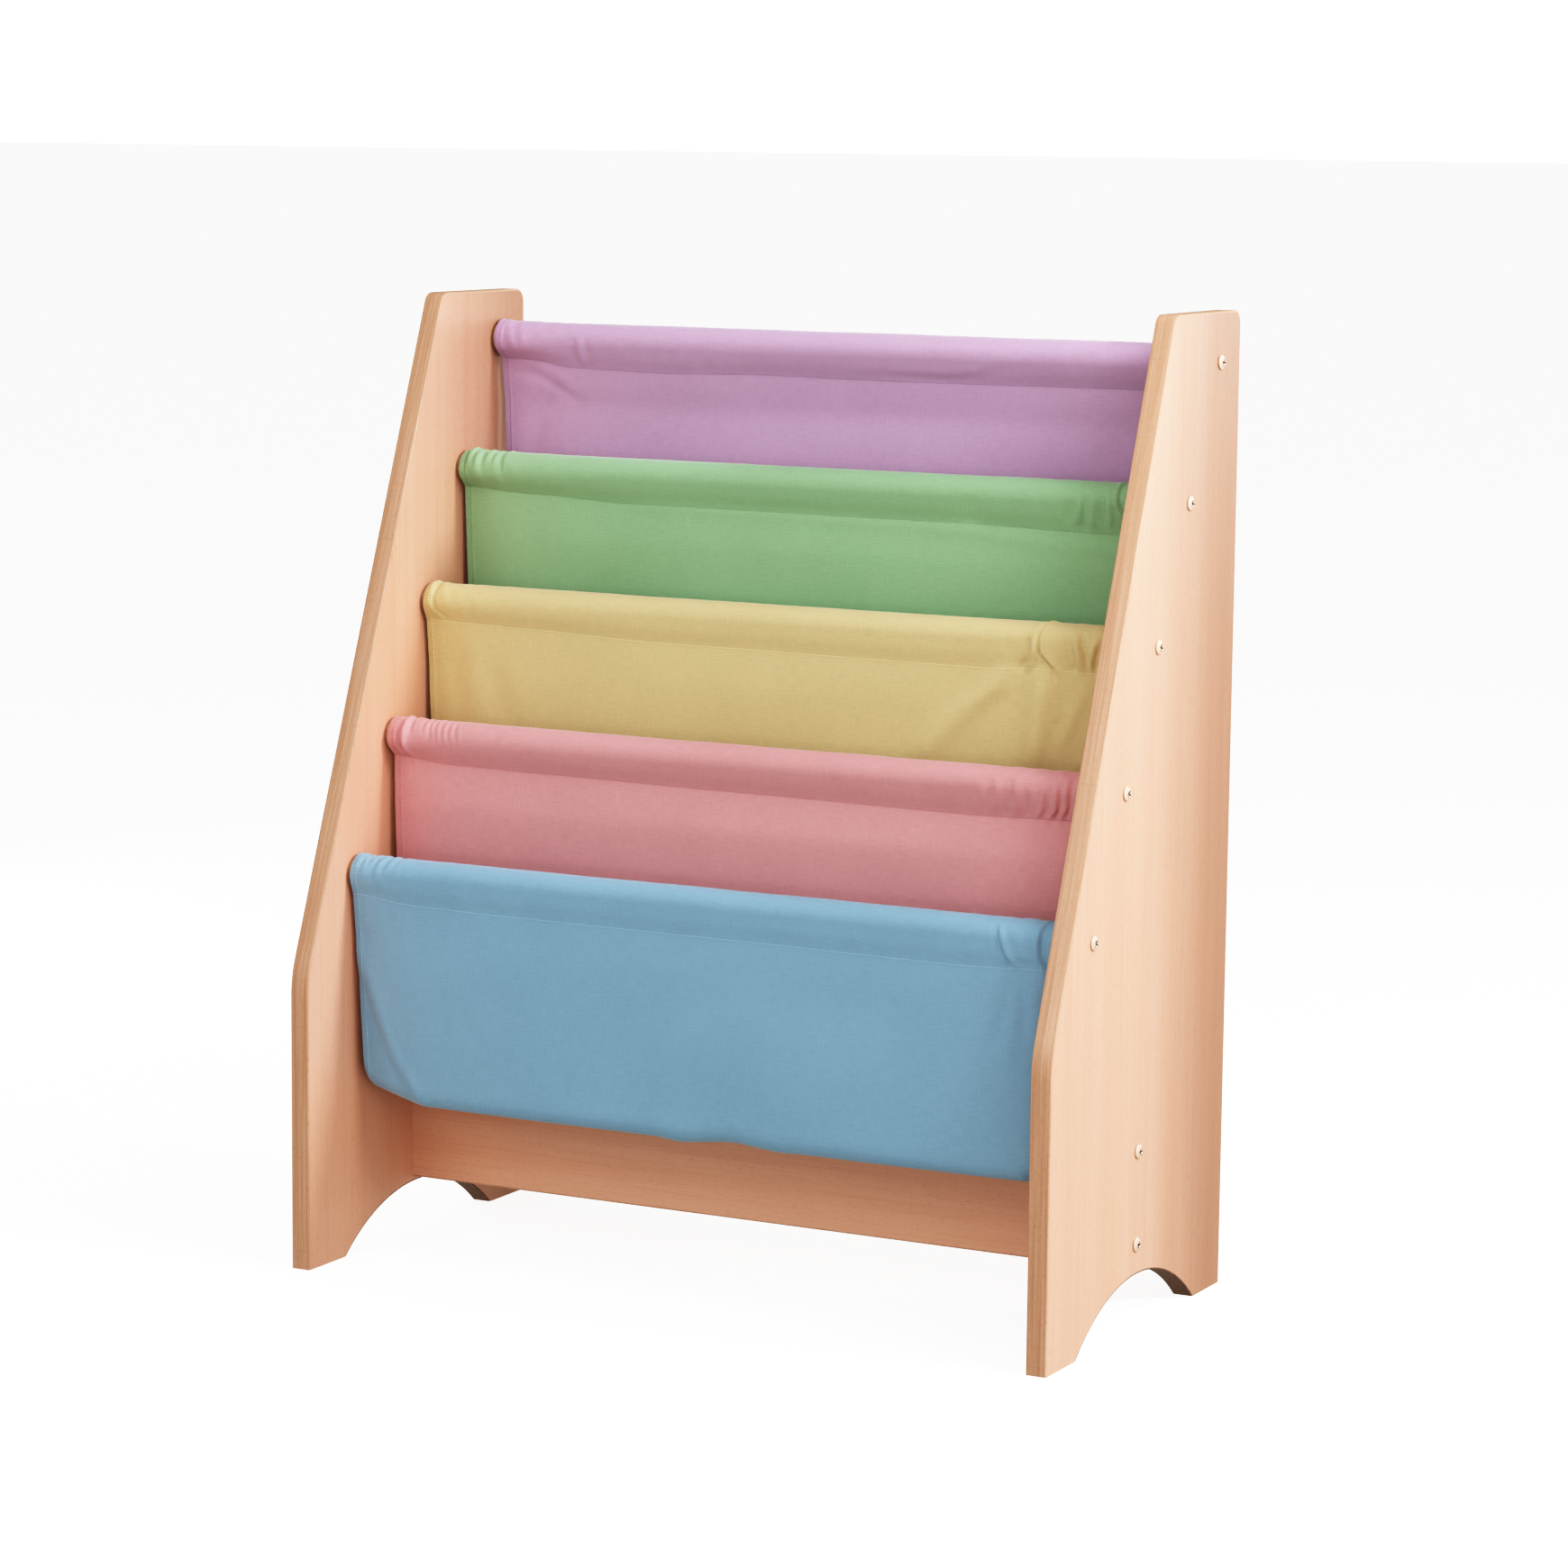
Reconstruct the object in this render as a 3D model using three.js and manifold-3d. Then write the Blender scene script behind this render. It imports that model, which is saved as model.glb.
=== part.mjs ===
// A children's sling bookshelf. Two laminated side panels are held apart by a low
// rail and five dowels, and a sewn cloth sling of five coloured panels hangs over
// the dowels and makes four book pockets, each one higher and further back than
// the one before it.
//
// Sizes are in millimetres. +X is to the right as seen from the front, +Y is the
// back and +Z is up. The origin is on the floor under the middle. Places in the
// side view are written as (back, up): the distance behind the panels' front
// edge and the height above the floor.

import * as THREE from 'three';
import { mergeVertices } from 'three/addons/utils/BufferGeometryUtils.js';
import Module from 'manifold-3d';

const wasm = await Module();
wasm.setup();

// Overall sizes, over the two side panels
const shelfWidth = 610;
const shelfDepth = 305;
const shelfHeight = 711;

// Side panels: upright at the front as far as a soft knee, then leaning back
const boardThickness = 15;
const panelTopDepth = 118;
const kneeHeight = 218;
const kneeRadius = 80;
const topCornerRadius = 10;
const footLength = 50;
const archRise = 39;

// Edge band, a plastic strip glued along the cut edges of the boards
const bandThickness = 1;
const bandEdgeRadius = 0.7;
const glueLine = 0.3;
const bandFloorGap = 1;
const bandRoundShare = 0.9;

// Cross rail, a board on edge between the panels
const railHeight = 103;
const railFloorGap = 43;
const railSetback = 142.5;

// Dowels, in even steps back and up from the lowest one at the front to the top one
const dowelDiameter = 22;
const dowelCount = 5;
const firstDowelSetback = 66;
const firstDowelHeight = 289;
const topDowelInset = 35.4;
const topDowelDrop = 36;

// Screws through the panels into the ends of the dowels and the rail
const screwDiameter = 5;
const screwGrip = 25;
const screwTipLength = 4;
const screwHeadDiameter = 10.5;
const screwHeadHeight = 2.6;
const screwRimHeight = 0.6;
const screwHoleClearance = 0.5;
const pilotClearance = 0.3;
const pilotOverrun = 2;
const railScrewInset = 18;

// Sling cloth and its tunnels, each a loop round a dowel closed by a stitch line
const clothThickness = 1.2;
const tunnelClearance = 0.3;
const layerGap = 0.6;
const stitchDrop = 18;
const stitchLead = 5;
const hemLength = 8;
const slingSideGap = 3.5;
const slingDrawIn = 4;

// Pockets. A wall hangs a little in front of its dowel, and turns under at the floor
const shoulderDrop = 50;
const shoulderRadius = 60;
const wallLead = 8;
const edgeLead = 5;
const bellyBulge = 2;
const pocketDrop = 170;
const floorBendRadius = 10;
const backWallTurnBelow = 9;
const backWallTurnRadius = 90;
const bendRoomShare = 0.45;

// Ears: the loose side edges of a pocket, where its floor rides up
const leftEarWidth = 52;
const rightEarWidth = 26;
const earLift = 23;

// Lap seam at the back of each floor, where the next colour starts
const seamSetback = 66;
const seamDrop = 174;
const seamBendRadius = 4;
const lapLength = 15;
const lapGap = 0.3;

// Facets of the round forms
const kneeSteps = 6;
const cornerSteps = 6;
const archSteps = 26;
const bandRoundSteps = 2;
const holeSegments = 12;
const dowelSegments = 20;
const screwSegments = 12;
const domeSteps = 3;
const tunnelSteps = 11;
const softBendSteps = 2;
const floorBendSteps = 4;
const seamBendSteps = 3;

// Places along a sling's width, from its left edge at -1 to its right edge at 1
const stationShares = [-1, -0.92, -0.81, -0.5, -0.2, 0, 0.25, 0.55, 0.84, 0.93, 1];

// The sling's colours from the lowest dowel up, and how far in front of the dowel
// each wall hangs, as a share of wallLead: the top one hangs behind its dowel
const slingPanels = [
  { name: 'blue_sling', color: 0x7fa3b6, leadShare: 1 },
  { name: 'pink_sling', color: 0xd79196, leadShare: 1 },
  { name: 'yellow_sling', color: 0xdcc387, leadShare: 0.95 },
  { name: 'green_sling', color: 0x91be87, leadShare: 0.7 },
  { name: 'purple_sling', color: 0xaf87a5, leadShare: -0.7 },
];

const insideWidth = shelfWidth - 2 * boardThickness;
const dowelRadius = dowelDiameter / 2;

const bookshelf = new THREE.Group();
const shelf = new THREE.Group();
shelf.position.y = -shelfDepth / 2;
bookshelf.add(shelf);

function addPiece(name, geometry, color, roughness) {
  const material = new THREE.MeshStandardMaterial({ color, roughness, metalness: 0 });
  const piece = new THREE.Mesh(geometry, material);
  piece.name = name;
  shelf.add(piece);
  return piece;
}

// Points along an arc in the side view. Angles run from +back towards +up.
function arc(centre, radius, from, to, steps) {
  return Array.from({ length: steps + 1 }, (_, i) => {
    const angle = THREE.MathUtils.lerp(from, to, i / steps);
    return new THREE.Vector2(Math.cos(angle), Math.sin(angle)).multiplyScalar(radius).add(centre);
  });
}

// A closed solid through a row of rings that all have the same number of points.
// capTriangles closes a ring, as triples of its point numbers.
function solidThroughRings(rings, capTriangles) {
  const size = rings[0].length;
  const last = (rings.length - 1) * size;
  const triangles = [];
  for (let here = 0; here < last; here += size) {
    for (let side = 0; side < size; side++) {
      const next = (side + 1) % size;
      triangles.push([here + side, here + next, here + size + next]);
      triangles.push([here + side, here + size + next, here + size + side]);
    }
  }
  for (const [a, b, c] of capTriangles) {
    triangles.push([c, b, a], [last + a, last + b, last + c]);
  }

  const points = rings.flat();
  const volume = triangles.reduce((sum, [a, b, c]) => {
    return sum + points[a].dot(new THREE.Vector3().crossVectors(points[b], points[c]));
  }, 0);
  if (volume < 0) triangles.forEach((triangle) => triangle.reverse());

  const geometry = new THREE.BufferGeometry().setFromPoints(points);
  geometry.setIndex(triangles.flat());
  geometry.computeVertexNormals();
  return geometry;
}

function toManifold(geometry) {
  const bare = geometry.clone();
  bare.deleteAttribute('normal');
  bare.deleteAttribute('uv');
  const merged = mergeVertices(bare);
  return new wasm.Manifold(new wasm.Mesh({
    numProp: 3,
    vertProperties: new Float32Array(merged.attributes.position.array),
    triVerts: new Uint32Array(merged.index.array),
  }));
}

function fromManifold(solid) {
  const mesh = solid.getMesh();
  const geometry = new THREE.BufferGeometry();
  geometry.setAttribute('position', new THREE.BufferAttribute(mesh.vertProperties, mesh.numProp));
  geometry.setIndex(new THREE.BufferAttribute(mesh.triVerts, 1));
  geometry.computeVertexNormals();
  return geometry;
}

// Places of the dowels and of the rail's screws in the side view
const dowelStepBack = (shelfDepth - topDowelInset - firstDowelSetback) / (dowelCount - 1);
const dowelStepUp = (shelfHeight - topDowelDrop - firstDowelHeight) / (dowelCount - 1);
const dowelPlaces = Array.from({ length: dowelCount }, (_, i) => new THREE.Vector2(
  firstDowelSetback + i * dowelStepBack,
  firstDowelHeight + i * dowelStepUp,
));
const railScrewPlaces = [railScrewInset, railHeight - railScrewInset].map((height) => new THREE.Vector2(
  railSetback + boardThickness / 2,
  railFloorGap + height,
));

// Side panels
const slant = Math.atan2(shelfDepth - panelTopDepth, shelfHeight - kneeHeight);
const kneeTangent = kneeRadius * Math.tan(slant / 2);
const topTangent = topCornerRadius * Math.tan((Math.PI / 2 - slant) / 2);
const panelInset = bandThickness + glueLine;

// The edge that the long band covers, up the front, over the top and down the back
function longEdge(inset, floor) {
  const knee = new THREE.Vector2(kneeRadius, kneeHeight - kneeTangent);
  const topFront = new THREE.Vector2(
    shelfDepth - panelTopDepth + topTangent,
    shelfHeight - topCornerRadius,
  );
  const topRear = new THREE.Vector2(shelfDepth - topCornerRadius, shelfHeight - topCornerRadius);
  const cornerRadius = topCornerRadius - inset;
  return [
    new THREE.Vector2(inset, floor),
    ...arc(knee, kneeRadius - inset, Math.PI, Math.PI - slant, kneeSteps),
    ...arc(topFront, cornerRadius, Math.PI - slant, Math.PI / 2, cornerSteps),
    ...arc(topRear, cornerRadius, Math.PI / 2, 0, cornerSteps),
    new THREE.Vector2(shelfDepth - inset, floor),
  ];
}

// The arch between the feet, from the rear foot to the front foot
function archEdge(inset, floor) {
  const halfChord = shelfDepth / 2 - footLength;
  const radius = (archRise ** 2 + halfChord ** 2) / (2 * archRise);
  const centre = new THREE.Vector2(shelfDepth / 2, archRise - radius);
  const spring = Math.asin((floor - centre.y) / (radius + inset));
  return arc(centre, radius + inset, spring, Math.PI - spring, archSteps);
}

// Turns a shape drawn in the side view, and its thickness, into the shelf's axes
const sideViewAxes = new THREE.Matrix4().makeBasis(
  new THREE.Vector3(0, 1, 0),
  new THREE.Vector3(0, 0, 1),
  new THREE.Vector3(1, 0, 0),
);

function panelBoard() {
  const outline = new THREE.Shape([...longEdge(panelInset, 0), ...archEdge(panelInset, 0)]);
  for (const place of [...dowelPlaces, ...railScrewPlaces]) {
    const hole = new THREE.Path();
    hole.absarc(place.x, place.y, screwDiameter / 2 + screwHoleClearance, 0, 2 * Math.PI);
    outline.holes.push(hole);
  }
  const board = new THREE.ExtrudeGeometry(outline, {
    depth: boardThickness,
    bevelEnabled: false,
    curveSegments: holeSegments / 2,
  });
  return board.applyMatrix4(sideViewAxes);
}

// Section of an edge band, as (depth into the board, place across the board)
const bandRound = Math.min(bandEdgeRadius, bandThickness * bandRoundShare);
const bandSection = [
  new THREE.Vector2(bandThickness, 0),
  ...arc(new THREE.Vector2(bandRound, bandRound), bandRound, Math.PI * 1.5, Math.PI, bandRoundSteps),
  ...arc(
    new THREE.Vector2(bandRound, boardThickness - bandRound),
    bandRound,
    Math.PI,
    Math.PI / 2,
    bandRoundSteps,
  ),
  new THREE.Vector2(bandThickness, boardThickness),
];
const bandCap = bandSection.slice(2).map((_, i) => [0, i + 1, i + 2]);

// A band along an edge of a side panel. edgeAt gives the edge at a depth into the board.
function panelBand(edgeAt) {
  const lines = bandSection.map((place) => edgeAt(place.x, bandFloorGap));
  const rings = lines[0].map((_, step) => bandSection.map((place, i) => {
    return new THREE.Vector3(place.y, lines[i][step].x, lines[i][step].y);
  }));
  return solidThroughRings(rings, bandCap);
}

const laminateColor = 0xedc6a4;
const bandColor = 0xcd9e78;
for (const [side, left] of [['left', -shelfWidth / 2], ['right', insideWidth / 2]]) {
  const pieces = [
    addPiece(`${side}_panel`, panelBoard(), laminateColor, 0.5),
    addPiece(`${side}_edge_band`, panelBand(longEdge), bandColor, 0.55),
    addPiece(`${side}_arch_band`, panelBand(archEdge), bandColor, 0.55),
  ];
  pieces.forEach((piece) => piece.position.setX(left));
}

// Cross rail, with pilot bores in its ends and a band on its top and bottom edges
const pilotRadius = screwDiameter / 2 + pilotClearance;
const pilotDepth = screwGrip + pilotOverrun;

function railBoard() {
  const height = railHeight - 2 * panelInset;
  let board = toManifold(new THREE.BoxGeometry(insideWidth, boardThickness, height));
  const boreLength = pilotDepth + pilotOverrun;
  for (const place of railScrewPlaces) {
    for (const end of [-1, 1]) {
      const bore = new THREE.CylinderGeometry(pilotRadius, pilotRadius, boreLength, holeSegments);
      bore.rotateZ(Math.PI / 2);
      bore.translate(end * (insideWidth / 2 - pilotDepth + boreLength / 2), 0,
        place.y - railFloorGap - railHeight / 2);
      board = board.subtract(toManifold(bore));
    }
  }
  return fromManifold(board);
}

function railBand(top) {
  const up = top ? railFloorGap + railHeight : railFloorGap;
  const inward = top ? -1 : 1;
  const rings = [-insideWidth / 2, insideWidth / 2].map((x) => bandSection.map((place) => {
    return new THREE.Vector3(x, railSetback + place.y, up + inward * place.x);
  }));
  return solidThroughRings(rings, bandCap);
}

const rail = addPiece('cross_rail', railBoard(), laminateColor, 0.5);
rail.position.set(0, railSetback + boardThickness / 2, railFloorGap + railHeight / 2);
addPiece('rail_top_band', railBand(true), bandColor, 0.55);
addPiece('rail_bottom_band', railBand(false), bandColor, 0.55);

// Dowels, bored at both ends for their screws
function dowelRod() {
  const half = insideWidth / 2;
  const profile = [
    new THREE.Vector2(0, pilotDepth - half),
    new THREE.Vector2(pilotRadius, pilotDepth - half),
    new THREE.Vector2(pilotRadius, -half),
    new THREE.Vector2(dowelRadius, -half),
    new THREE.Vector2(dowelRadius, half),
    new THREE.Vector2(pilotRadius, half),
    new THREE.Vector2(pilotRadius, half - pilotDepth),
    new THREE.Vector2(0, half - pilotDepth),
  ];
  return new THREE.LatheGeometry(profile, dowelSegments);
}

dowelPlaces.forEach((place, i) => {
  const rod = addPiece(`dowel_${i + 1}`, dowelRod(), 0xd9b48c, 0.6);
  rod.rotation.z = Math.PI / 2;
  rod.position.set(0, place.x, place.y);
});

// Screws, drawn point down with the head's seat at zero
function screwBody() {
  const shank = screwDiameter / 2;
  const head = screwHeadDiameter / 2;
  const domeHeight = screwHeadHeight - screwRimHeight;
  const dome = Array.from({ length: domeSteps }, (_, i) => {
    const angle = (i / domeSteps) * Math.PI / 2;
    return new THREE.Vector2(head * Math.cos(angle), screwRimHeight + domeHeight * Math.sin(angle));
  });
  const profile = [
    new THREE.Vector2(0, -boardThickness - screwGrip),
    new THREE.Vector2(shank, -boardThickness - screwGrip + screwTipLength),
    new THREE.Vector2(shank, 0),
    new THREE.Vector2(head, 0),
    ...dome,
    new THREE.Vector2(0, screwHeadHeight),
  ];
  return new THREE.LatheGeometry(profile, screwSegments);
}

const screwRows = [
  ...railScrewPlaces.map((place, i) => ({ label: `rail_${i + 1}`, place })),
  ...dowelPlaces.map((place, i) => ({ label: `dowel_${i + 1}`, place })),
];
for (const [side, out] of [['left', -1], ['right', 1]]) {
  for (const { label, place } of screwRows) {
    const screw = addPiece(`${side}_screw_${label}`, screwBody(), 0xf5e6c8, 0.45);
    screw.rotation.z = -out * Math.PI / 2;
    screw.position.set(out * shelfWidth / 2, place.x, place.y);
  }
}

// Sling. Each panel is a sheet whose middle line is drawn in the side view, about
// its own dowel, at a row of stations along the width.
const slingHalfWidth = insideWidth / 2 - slingSideGap;
const layerPitch = clothThickness + layerGap;
const front = -1;
const rear = 1;

// 1 at a side edge of the sling, falling to 0 where the ear fold ends
function earShareAt(share) {
  const { smoothstep } = THREE.MathUtils;
  const fromLeft = (1 + share) * slingHalfWidth;
  const fromRight = (1 - share) * slingHalfWidth;
  return 1 - smoothstep(fromLeft, 0, leftEarWidth) * smoothstep(fromRight, 0, rightEarWidth);
}

// Where one layer of a wall hangs behind its dowel's centre
function wallBack(panel, share, layer) {
  const slack = (wallLead - edgeLead) * earShareAt(share);
  const belly = bellyBulge * (1 - share ** 2);
  return -panel.leadShare * (wallLead - slack + belly) + layer * layerPitch / 2;
}

function stitchPoint(panel, layer) {
  return new THREE.Vector2(-panel.leadShare * stitchLead + layer * layerPitch / 2, -stitchDrop);
}

function shoulderPoint(panel, share, layer) {
  return new THREE.Vector2(wallBack(panel, share, layer), -shoulderDrop);
}

function backWallTurn(panel, share) {
  return new THREE.Vector2(wallBack(panel, share, front), -pocketDrop - backWallTurnBelow);
}

// The lap seam behind a pocket, about the pocket's front dowel: the foot of the
// back wall, the way it rises, and the way from it to the lapped end behind it
function seamBehind(backPanel, share) {
  const foot = new THREE.Vector2(seamSetback, -seamDrop);
  const turn = backWallTurn(backPanel, share).add(new THREE.Vector2(dowelStepBack, dowelStepUp));
  const rise = turn.sub(foot).normalize();
  const behind = new THREE.Vector2(rise.y, -rise.x).multiplyScalar(clothThickness + lapGap);
  return { foot, rise, behind };
}

// A line with its inner corners rounded. Each corner is [point, radius, steps]. A bend
// has some length even where the line runs straight on, so that its points stay apart.
function softLine(corners) {
  const line = [];
  corners.forEach(([point, radius, steps], i) => {
    if (!radius) {
      line.push(point);
      return;
    }
    const toPrevious = corners[i - 1][0].clone().sub(point);
    const toNext = corners[i + 1][0].clone().sub(point);
    const turn = Math.PI - toPrevious.angleTo(toNext);
    const room = Math.min(toPrevious.length(), toNext.length()) * bendRoomShare;
    const reach = Math.min(Math.max(radius * Math.tan(turn / 2), clothThickness), room);
    const curve = new THREE.QuadraticBezierCurve(
      toPrevious.setLength(reach).add(point),
      point,
      toNext.setLength(reach).add(point),
    );
    line.push(...curve.getPoints(steps));
  });
  return line;
}

// The foot of a back wall, its lapped strip and its way up to the stitch line
function backWall(panel, share) {
  const { foot, rise } = seamBehind(panel, share);
  foot.sub(new THREE.Vector2(dowelStepBack, dowelStepUp));
  return softLine([
    [foot],
    [foot.clone().addScaledVector(rise, lapLength)],
    [backWallTurn(panel, share), backWallTurnRadius, softBendSteps],
    [shoulderPoint(panel, share, front), shoulderRadius, softBendSteps],
    [stitchPoint(panel, front)],
  ]);
}

// The loop over the dowel, between the tangents to the two ends of the stitch line
function tunnel(panel) {
  const middle = dowelRadius + tunnelClearance + clothThickness / 2;
  const tangentAt = (layer) => {
    const stitch = stitchPoint(panel, layer);
    return stitch.angle() + layer * Math.acos(middle / stitch.length());
  };
  const from = tangentAt(front);
  const to = tangentAt(rear) - 2 * Math.PI;
  const halfStep = (from - to) / tunnelSteps / 2;
  return arc(new THREE.Vector2(), middle / Math.cos(halfStep), from, to, tunnelSteps);
}

// From the stitch line down a front wall, along the floor and up the lap seam
function frontWallAndFloor(panel, backPanel, share, layer) {
  const { foot, rise, behind } = seamBehind(backPanel, share);
  const bend = new THREE.Vector2(
    wallBack(panel, share, layer),
    earLift * earShareAt(share) - pocketDrop,
  );
  const lapped = (distance) => foot.clone().addScaledVector(rise, distance).add(behind);
  return softLine([
    [stitchPoint(panel, layer)],
    [shoulderPoint(panel, share, layer), shoulderRadius, softBendSteps],
    [bend, floorBendRadius, floorBendSteps],
    [lapped(-2 * seamBendRadius - clothThickness), seamBendRadius, seamBendSteps],
    [lapped(lapLength)],
  ]);
}

// A tunnel's cut end, turned in and stitched to the wall
function hem(panel, share) {
  const wall = shoulderPoint(panel, share, front).sub(stitchPoint(panel, front)).normalize();
  const stitch = stitchPoint(panel, rear);
  return [stitch, stitch.clone().addScaledVector(wall, hemLength)];
}

function slingLine(index, share) {
  const panel = slingPanels[index];
  const backPanel = slingPanels[index + 1];
  if (index === 0) {
    return [
      ...hem(panel, share).reverse(),
      ...tunnel(panel).reverse(),
      ...frontWallAndFloor(panel, backPanel, share, front),
    ];
  }
  return [
    ...backWall(panel, share),
    ...tunnel(panel),
    ...(backPanel ? frontWallAndFloor(panel, backPanel, share, rear) : hem(panel, share)),
  ];
}

// One face of a sheet: its middle line moved sideways, with mitred corners
function moveSideways(line, distance) {
  return line.map((point, i) => {
    const before = line[Math.max(i, 1)].clone().sub(line[Math.max(i, 1) - 1]).normalize();
    const next = Math.min(i, line.length - 2);
    const after = line[next + 1].clone().sub(line[next]).normalize();
    const along = before.clone().add(after).normalize();
    const mitre = distance / along.dot(after);
    return new THREE.Vector2(along.y, -along.x).multiplyScalar(mitre).add(point);
  });
}

function slingSheet(index) {
  const rings = stationShares.map((share) => {
    const line = slingLine(index, share);
    const section = [
      ...moveSideways(line, clothThickness / 2),
      ...moveSideways(line, -clothThickness / 2).reverse(),
    ];
    return section.map((point) => {
      const drawn = slingDrawIn * THREE.MathUtils.smoothstep(-point.y, stitchDrop, pocketDrop);
      return new THREE.Vector3(share * (slingHalfWidth - drawn), point.x, point.y);
    });
  });
  const size = rings[0].length;
  const cap = [];
  for (let i = 0; i < size / 2 - 1; i++) {
    cap.push([i, i + 1, size - 2 - i], [i, size - 2 - i, size - 1 - i]);
  }
  return solidThroughRings(rings, cap);
}

slingPanels.forEach(({ name, color }, i) => {
  const sheet = addPiece(name, slingSheet(i), color, 0.9);
  sheet.position.set(0, dowelPlaces[i].x, dowelPlaces[i].y);
});

export default bookshelf;
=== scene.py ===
import math

import bmesh
import bpy
import numpy as np
from mathutils import Matrix, Vector, noise


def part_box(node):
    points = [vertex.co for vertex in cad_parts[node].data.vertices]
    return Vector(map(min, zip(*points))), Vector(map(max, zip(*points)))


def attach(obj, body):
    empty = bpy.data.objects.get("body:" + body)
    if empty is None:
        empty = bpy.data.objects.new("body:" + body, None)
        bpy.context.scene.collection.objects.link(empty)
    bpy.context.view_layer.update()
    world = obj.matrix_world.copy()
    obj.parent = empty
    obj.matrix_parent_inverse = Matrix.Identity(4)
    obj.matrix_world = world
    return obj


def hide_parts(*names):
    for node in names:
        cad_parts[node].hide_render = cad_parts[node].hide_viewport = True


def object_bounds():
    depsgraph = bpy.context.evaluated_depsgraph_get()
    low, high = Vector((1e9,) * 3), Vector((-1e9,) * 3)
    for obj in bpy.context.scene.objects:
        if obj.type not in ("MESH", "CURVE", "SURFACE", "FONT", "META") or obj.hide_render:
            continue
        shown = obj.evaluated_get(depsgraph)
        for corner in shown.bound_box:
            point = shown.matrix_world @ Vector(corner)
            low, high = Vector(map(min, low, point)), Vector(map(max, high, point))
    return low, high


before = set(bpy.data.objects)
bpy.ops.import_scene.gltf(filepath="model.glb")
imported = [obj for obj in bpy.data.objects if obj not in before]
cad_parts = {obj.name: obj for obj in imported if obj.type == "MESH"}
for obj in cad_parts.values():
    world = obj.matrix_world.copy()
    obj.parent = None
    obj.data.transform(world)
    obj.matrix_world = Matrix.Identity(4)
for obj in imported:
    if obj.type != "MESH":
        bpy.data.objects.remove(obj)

cad_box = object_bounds()
MM = 0.001


# Studio
# A white floor runs into a white horizon. A cool key light stands on the right, with soft
# panels in front, at the sides, overhead and behind.
key_place = Vector((3.3, 0.13, 1.75))
key_size = 0.23
key_power = 88
key_colour = (0.93, 1.0, 1.1)
panel_colour = (0.95, 0.98, 1.0)
# Each soft panel's name, place in m, size in m and power in W. All face the shelf's middle.
panels = (
    ("left_panel_light", Vector((-1.0, -2.8, 1.7)), 1.2, 19),
    ("front_panel_light", Vector((1.65, -2.4, 1.6)), 1.8, 20),
    ("top_panel_light", Vector((-0.1, -0.9, 2.7)), 1.5, 7),
    ("side_panel_light", Vector((1.1, -0.35, 1.35)), 0.5, 11),
    ("rear_panel_light", Vector((1.1, 1.4, 0.9)), 0.8, 5),
    ("far_side_panel_light", Vector((-1.9, 0.6, 0.45)), 0.9, 12),
)
floor_size = 200
floor_colour = (0.75, 0.75, 0.75, 1)
floor_glow = 1.1
floor_roughness = 0.9
# The light that comes back from the room is warm and dim, but for the white horizon. Each
# rise is the range, from level as 0 to upright as 1, in which one tone gives way to the next.
below_colour = (0.50, 0.47, 0.42, 1)
horizon_colour = (2.0, 2.0, 2.0, 1)
above_colour = (0.37, 0.36, 0.34, 1)
below_rise = (-0.05, -0.02)
above_rise = (0.03, 0.07)
# The picture's tone for each amount of light, as on film: shades are deep, bright parts bleach.
film_response = (
    (0.035, 0.01), (0.071, 0.03), (0.136, 0.085), (0.291, 0.27), (0.36, 0.36),
    (0.538, 0.56), (0.773, 0.75), (1.025, 0.87), (1.36, 0.95), (1.85, 1.0),
)

camera_azimuth = math.radians(27.659)
camera_height_angle = math.radians(8.142)
camera_roll = math.radians(0.562)
camera_distance = 3360.05 * MM
camera_target = Vector((21.99, -2.5, 367.02)) * MM
camera_lens = 106.82
camera_sensor = 36

camera = bpy.data.objects.new("camera", bpy.data.cameras.new("camera"))
camera.data.lens = camera_lens
camera.data.sensor_width = camera_sensor
backward = Vector((
    math.sin(camera_azimuth) * math.cos(camera_height_angle),
    -math.cos(camera_azimuth) * math.cos(camera_height_angle),
    math.sin(camera_height_angle),
))
camera_place = Matrix.Translation(camera_target + backward * camera_distance)
facing = backward.to_track_quat("Z", "Y").to_matrix().to_4x4()
camera.matrix_world = camera_place @ facing @ Matrix.Rotation(camera_roll, 4, "Z")
bpy.context.scene.collection.objects.link(camera)
bpy.context.scene.camera = camera

picture = bpy.context.scene.view_settings
picture.view_transform = "Standard"
picture.use_curve_mapping = True
film = picture.curve_mapping
film.clip_max_x = film_response[-1][0]
film.curves[3].points[-1].location = film_response[-1]
for light, tone in film_response[:-1]:
    film.curves[3].points.new(light, tone)
film.update()


def put_light(name, place, size, power, colour):
    """A square light that faces the middle of the shelf."""
    light = bpy.data.objects.new(name, bpy.data.lights.new(name, "AREA"))
    light.data.size = size
    light.data.energy = power
    light.data.color = colour
    shelf_middle = (cad_box[0] + cad_box[1]) / 2
    turned = (place - shelf_middle).to_track_quat("Z", "Y").to_matrix().to_4x4()
    light.matrix_world = Matrix.Translation(place) @ turned
    bpy.context.scene.collection.objects.link(light)


put_light("key_light", key_place, key_size, key_power, key_colour)
for name, place, size, power in panels:
    put_light(name, place, size, power, panel_colour)


def node(tree, kind, inputs=None, **settings):
    """A new node. Its inputs, by name or number, are links or plain values."""
    made = tree.nodes.new(kind)
    for setting, value in settings.items():
        setattr(made, setting, value)
    for socket, value in (inputs or {}).items():
        if isinstance(value, bpy.types.NodeSocket):
            tree.links.new(value, made.inputs[socket])
        else:
            made.inputs[socket].default_value = value
    return made


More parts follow.
